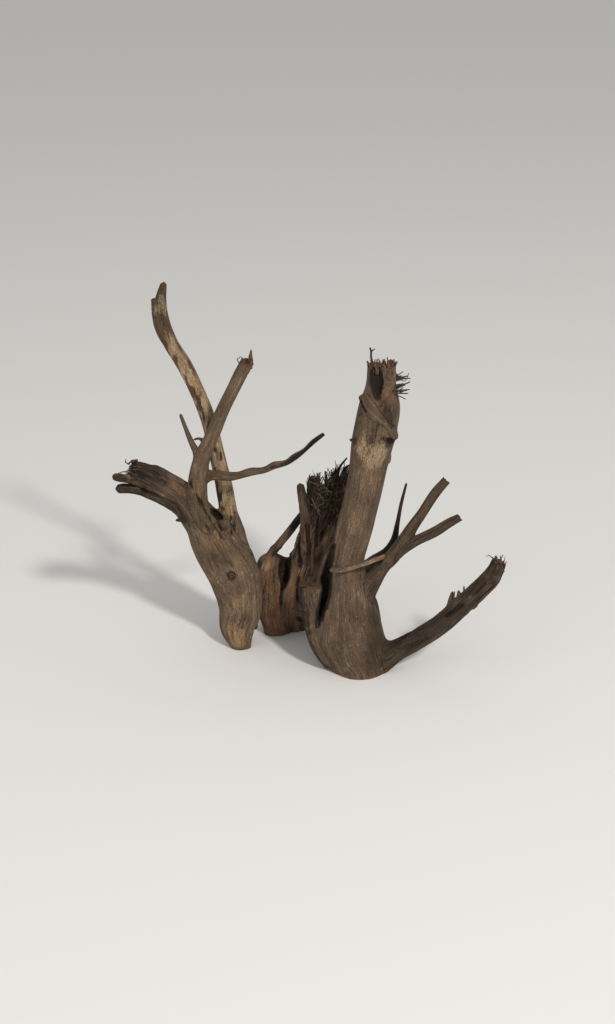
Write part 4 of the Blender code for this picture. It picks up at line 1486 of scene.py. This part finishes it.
def strand_material(name, tone):
    material, tree, shader = wood_shader(name)
    grain = use_group(tree, GRAIN, {"Place": attribute(tree, "grain_place"), "Fineness": STRAND_FINENESS})
    put(tree, shader.inputs["Base Color"], toned(tree, grain, STRAND_WORN, 0.0, tone))
    bump = use_group(tree, BUMP, {"Fibre": grain["Fibre"], "Speck": grain["Speck"], "Depth": STRAND_BUMP})
    put(tree, shader.inputs["Normal"], bump["Normal"])
    return material


def cut_material():
    material, tree, shader = wood_shader("cut_face", rough=0.9)
    grain = use_group(tree, GRAIN, {"Place": attribute(tree, "grain_place"), "Fineness": CUT_FINENESS})
    turns = math_node(tree, "MULTIPLY", attribute(tree, "ring"), RINGS_PER_MM)
    ring = math_node(tree, "SINE", math_node(tree, "MULTIPLY_ADD", grain["Mottle"], RING_WOBBLE, turns))
    color = toned(tree, grain, math_node(tree, "MULTIPLY", ring, RING_DEPTH), 0.0, "pale")
    put(tree, shader.inputs["Base Color"], color)
    return material


cut = cut_material()
torn, rootlet = strand_material("torn_fibre", "torn"), strand_material("dark_rootlet", "dark")
dark_torn, brown = strand_material("dark_torn_fibre", "grey"), strand_material("brown_rootlet", "skin")
print("materials:", [material.name for material in (cut, torn, rootlet, dark_torn, brown)])

# %% [markdown]
# ## Which face gets which
# The underside is sawn wood and all else is weathered skin. A face belongs to the cut when it looks
# straight down and lies on the ground. Faces could be picked by hand, but the rule still holds when
# a station moves. The skin is shaded smooth, and the cut stays flat.

# %% Materials on the body
FOOT_HEIGHT = 0.4
STRAIGHT_DOWN = -0.9


def dress_body():
    mesh = body.data
    points = mesh_points(mesh)
    which, _, _ = nearest_limb(points)
    hearts = np.array([limb.heart[np.argmin(np.abs(limb.heart[:, 2]))][:2] for limb in limbs.values()])
    store(mesh, "ring", np.linalg.norm(points[:, :2] - hearts[which], axis=1))
    mesh.materials.clear()
    mesh.materials.append(skin)
    mesh.materials.append(cut)
    for face in mesh.polygons:
        under = face.normal.z < STRAIGHT_DOWN and face.center.z / MM < FOOT_HEIGHT
        face.material_index = 1 if under else 0
        face.use_smooth = not under
    return sum(face.material_index for face in mesh.polygons)


print(dress_body(), "faces of the underside are cut wood")

# %% [markdown]
# ## Loose fibres
# Where root wood breaks, its fibres stand out like bristles. Each one is a thin tapered tube along a
# bent line that starts inside the wood. Hair would be quicker to make, but tubes are real geometry,
# so they cast shadows and travel with the model.

# %% Strands
STRAND_SIDES = 5
STRAND_STEPS = 7
GRAIN_LENGTH = 30
FARTHEST_GRAIN = 900


class Strands:
    """Collects tapered tubes into one mesh."""

    def __init__(self, name, seed, taper=0.8):
        self.name = name
        self.taper = taper
        self.chance = random.Random(seed)
        self.points, self.faces, self.places = [], [], []

    def add(self, line, thickness, flat=1.0):
        """One tube along a line of points in millimetres, thick at its start and pointed at its end."""
        line = np.array(line, float)
        along, front, side = ring_axes(line)
        count = len(line)
        first = len(self.points)
        offset = self.chance.uniform(0, FARTHEST_GRAIN)
        for row in range(count):
            share = row / (count - 1)
            radius = thickness * (1.0 - self.taper * share ** 1.6)
            for column in range(STRAND_SIDES):
                angle = 2 * math.pi * column / STRAND_SIDES
                spoke = front[row] * math.cos(angle) * flat + side[row] * math.sin(angle)
                self.points.append(line[row] + spoke * radius)
                across = (math.cos(angle) * thickness + offset, math.sin(angle) * thickness)
                self.places.append((*across, share * GRAIN_LENGTH + offset))
        for row in range(count - 1):
            for column in range(STRAND_SIDES):
                after = (column + 1) % STRAND_SIDES
                here, there = first + row * STRAND_SIDES, first + (row + 1) * STRAND_SIDES
                self.faces.append((here + column, here + after, there + after, there + column))
        self.faces.append(tuple(first + column for column in reversed(range(STRAND_SIDES))))
        last = first + (count - 1) * STRAND_SIDES
        self.faces.append(tuple(last + column for column in range(STRAND_SIDES)))

    def bent(self, root, way, length, thickness, bend, flat=1.0):
        """One strand from a root in a direction, bending by chance as it goes."""
        heading = np.array(way, float) / np.linalg.norm(way)
        drift = np.array([self.chance.gauss(0, bend) for _ in range(3)])
        spot = np.array(root, float)
        line = [spot]
        for _ in range(STRAND_STEPS):
            heading = heading + drift / STRAND_STEPS
            heading = heading + np.array([self.chance.gauss(0, bend * 0.35) for _ in range(3)]) / 2
            heading /= np.linalg.norm(heading)
            spot = spot + heading * length / STRAND_STEPS
            line.append(spot)
        self.add(line, thickness, flat)

    def build(self, material):
        """The mesh of all the strands, in one material."""
        mesh = bpy.data.meshes.new(self.name)
        mesh.from_pydata((np.array(self.points) * MM).tolist(), [], self.faces)
        mesh.shade_smooth()
        store(mesh, "grain_place", np.array(self.places))
        mesh.materials.append(material)
        strands = bpy.data.objects.new(self.name, mesh)
        bpy.context.scene.collection.objects.link(strands)
        print(self.name, len(mesh.polygons), "faces")
        return strands


loose = []

# %% [markdown]
# ## The frayed top of the trunk
# The trunk broke across its fibres, so the rim carries short thick bristles, and a dark tuft sticks
# out on its right. Each fibre gets its place, lean and length by a seeded draw inside the span that
# the real ones have. The few that stand out, such as the tall split fibre, are given one by one.

# %% Fibres of the trunk's top
BRISTLES = 150
TUFT_FIBRES = 19


def crown_bristles():
    """Short thick bristles on the broken rim of the trunk."""
    strands = Strands("crown_bristles", 21, 0.35)
    chance = strands.chance
    for _ in range(BRISTLES):
        angle = chance.uniform(0, 2 * math.pi)
        reach = chance.uniform(10.0, 15.5)
        root = (26 + math.cos(angle) * reach, 42 + math.sin(angle) * reach, 380 + chance.uniform(0, 4))
        way = (0.15 * math.cos(angle), 0.15 * math.sin(angle), 1.0)
        strands.bent(root, way, chance.uniform(7, 11) + 2 * (angle > 4.5), chance.uniform(0.7, 1.3), 0.3)
    return strands.build(torn)


def side_tuft():
    """Dark blunt fibres on the trunk's right side, one curl, and a tall fibre with a split tip."""
    strands = Strands("side_tuft", 22, 0.35)
    chance = strands.chance
    for _ in range(TUFT_FIBRES):
        share = chance.random()
        root = (33 + chance.uniform(0, 4), 33 + chance.uniform(-6, 8), 348 + 26 * share)
        way = (1.0, chance.uniform(-0.4, 0.2), 0.12 + 0.3 * share + chance.uniform(-0.12, 0.16))
        strands.bent(root, way, chance.uniform(14, 26), chance.uniform(0.8, 1.35), 0.25)
    curl = [(38, 30, 386), (44, 28, 380), (48, 27, 374), (53, 26, 373), (56, 26, 377), (57, 26, 383)]
    strands.add(curl, 0.7)
    tall = [(14, 38, 376), (14, 38, 384), (13.5, 38, 392), (12.5, 38, 400), (12.5, 38, 406), (11, 38, 411)]
    strands.add(tall, 1.7)
    strands.add([(12.5, 38, 405), (14, 37.5, 408), (17, 37, 409.5)], 1.1)
    return strands.build(dark_torn)


loose += [crown_bristles(), side_tuft()]
print(len(loose), "bundles on the trunk's top")

# %% [markdown]
# ## The dark bundle
# The middle stem ends in a sheaf of hundreds of thin roots that lean to the right and part at their
# tips, with fine paler rootlets curling over it. One noise-covered lump would read as fur from afar.
# Separate strands leave the dark gaps between them that make it look like roots.

# %% Rootlets
SHEAF_ROOTS = 620
CLUMP_ROOTS = 150
CURLY_ROOTS = 110
LOOPS = 16
LOOP_TURN = 0.62
LONG_ROOTS = [
    # points, with the thickness first
    (2.2, [(-32, 92, 205), (-26, 90, 232), (-21, 87, 244), (-14, 84, 254)]),
    (2.2, [(-30, 94, 205), (-22, 92, 224), (-17, 90, 238), (-9, 88, 244)]),
    (2.6, [(-38, 90, 208), (-40, 87, 224), (-41, 86, 235)]),
    (2.4, [(-28, 96, 200), (-19, 96, 216), (-12, 94, 224)]),
]


def rootlets():
    """The dark sheaf on the middle stem, the clump beside it and a few long roots."""
    strands = Strands("rootlets", 23, 0.5)
    chance = strands.chance
    for _ in range(SHEAF_ROOTS):
        share = chance.random()
        height = 152 + 74 * share
        middle = (-49 + 27 * share, 92 - 3 * share)
        reach = 21 - 15 * share
        angle = chance.uniform(-math.pi, math.pi)
        root = (middle[0] + math.sin(angle) * reach, middle[1] - math.cos(angle) * reach * 0.9, height)
        lean = 0.32 + 0.3 * math.sin(angle) + chance.uniform(-0.15, 0.15)
        way = (lean, -0.1 + chance.uniform(-0.2, 0.1), 1.0)
        strands.bent(root, way, chance.uniform(12, 26), chance.uniform(0.4, 0.95), 0.25)
    for _ in range(CLUMP_ROOTS):
        root = (-56 + chance.uniform(-8, 8), 88 + chance.uniform(-10, 6), chance.uniform(182, 222))
        way = (0.06 + chance.uniform(-0.15, 0.22), chance.uniform(-0.2, 0.1), 1.0)
        strands.bent(root, way, chance.uniform(9, 16), chance.uniform(0.5, 1.1), 0.25)
    for thickness, line in LONG_ROOTS:
        strands.add(line, thickness)
    return strands.build(rootlet)


def curly_rootlets():
    """Fine paler rootlets that curl over the dark bundle."""
    strands = Strands("curly_rootlets", 26, 0.4)
    chance = strands.chance
    for _ in range(CURLY_ROOTS):
        root = (-34 + chance.uniform(-22, 18), 76 + chance.uniform(-4, 6), chance.uniform(176, 238))
        way = (chance.uniform(-0.6, 1.0), chance.uniform(-0.6, 0.1), chance.uniform(-0.3, 1.0))
        strands.bent(root, way, chance.uniform(7, 15), chance.uniform(0.28, 0.45), 0.9)
    strands.add([(-58, 68, 205), (-54, 66, 196), (-50, 66, 188), (-46, 68, 180)], 0.6)
    for _ in range(LOOPS):
        middle = np.array((-12 + chance.uniform(-7, 6), 84 + chance.uniform(-3, 3),
                           226 + chance.uniform(-12, 14)))
        start = chance.uniform(0, 2 * math.pi)
        width, rise = chance.uniform(3, 7), chance.uniform(4, 9)
        bow = [start + turn * LOOP_TURN for turn in range(STRAND_STEPS)]
        strands.add([middle + (math.cos(turn) * width, chance.uniform(-0.5, 0.5), math.sin(turn) * rise)
                     for turn in bow], chance.uniform(0.4, 0.7))
    return strands.build(brown)


loose += [rootlets(), curly_rootlets()]
print(SHEAF_ROOTS + CLUMP_ROOTS + len(LONG_ROOTS), "dark roots and", CURLY_ROOTS + LOOPS, "pale ones")

# %% [markdown]
# ## Splinters
# The hooked root and the low branch snapped, and their ends are rings of flat splinters. The front
# branch ends in one curled fibre, and small flakes stand up on the low branch. They are strands too,
# pressed flat, and each starts a few millimetres inside the wood, so that none floats.

# %% Splinters
SPLINTERS = 26
FLAKE_ROOTS = ((118, -8, 98), (122, -8, 101), (127, -10, 104), (131, -10, 108))


def hook_splinters():
    """Splinters at the broken end of the hooked root."""
    strands = Strands("hook_splinters", 24, 0.75)
    chance = strands.chance
    for _ in range(SPLINTERS):
        root = (-273 + chance.uniform(-4, 6), 56 + chance.uniform(-8, 8), 249 + chance.uniform(-10, 5))
        way = (-1.0, chance.uniform(-0.35, 0.1), chance.uniform(-0.12, 0.3))
        strands.bent(root, way, chance.uniform(9, 19), chance.uniform(0.7, 1.7), 0.2, 0.6)
    strands.add([(-274, 54, 262), (-281, 52, 262), (-286, 51, 258), (-289, 50, 261), (-288, 50, 265)], 1.6)
    strands.add([(-272, 53, 246), (-282, 50, 247), (-292, 48, 249), (-299, 47, 247)], 1.3)
    strands.add([(-272, 53, 243), (-281, 50, 243), (-290, 48, 245)], 1.2)
    return strands.build(dark_torn)


def end_splinters():
    """Frayed splinters at the end of the low branch."""
    strands = Strands("end_splinters", 25, 0.7)
    chance = strands.chance
    for _ in range(SPLINTERS):
        root = (171 + chance.uniform(-6, 6), -22 + chance.uniform(-6, 6), 149 + chance.uniform(-3, 4))
        way = (chance.uniform(-0.55, 0.35), chance.uniform(-0.3, 0.3), 1.0)
        strands.bent(root, way, chance.uniform(7, 15), chance.uniform(0.6, 1.5), 0.35, 0.6)
    strands.add([(168, -20, 152), (164, -18, 160), (158, -16, 164), (154, -16, 162)], 1.0)
    return strands.build(torn)


def branch_curl():
    """The curled fibre at the front branch's tip, and small flakes along the low branch."""
    strands = Strands("branch_curl", 27, 0.4)
    strands.add([(-141, 42, 388), (-146, 40, 391), (-148, 40, 396), (-144, 40, 399), (-140, 41, 396)], 0.8)
    chance = strands.chance
    for root in FLAKE_ROOTS:
        strands.bent(root, (chance.uniform(-0.5, 0.2), 0.1, 1.0), chance.uniform(7, 13), 1.5, 0.3, 0.5)
    return strands.build(dark_torn)


loose += [hook_splinters(), end_splinters(), branch_curl()]
print(len(loose), "bundles of loose fibres")

# %% [markdown]
# ## Hand over
# The body and the loose fibres are eight meshes of one thing. They could be joined, but apart they can
# be hidden or changed one by one. Each rides on the part's only body and stands in for its only solid.

# %% Hand over
bpy.data.collections.remove(skins)
for piece in [body] + loose:
    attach(piece, "root")
    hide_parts("driftwood")
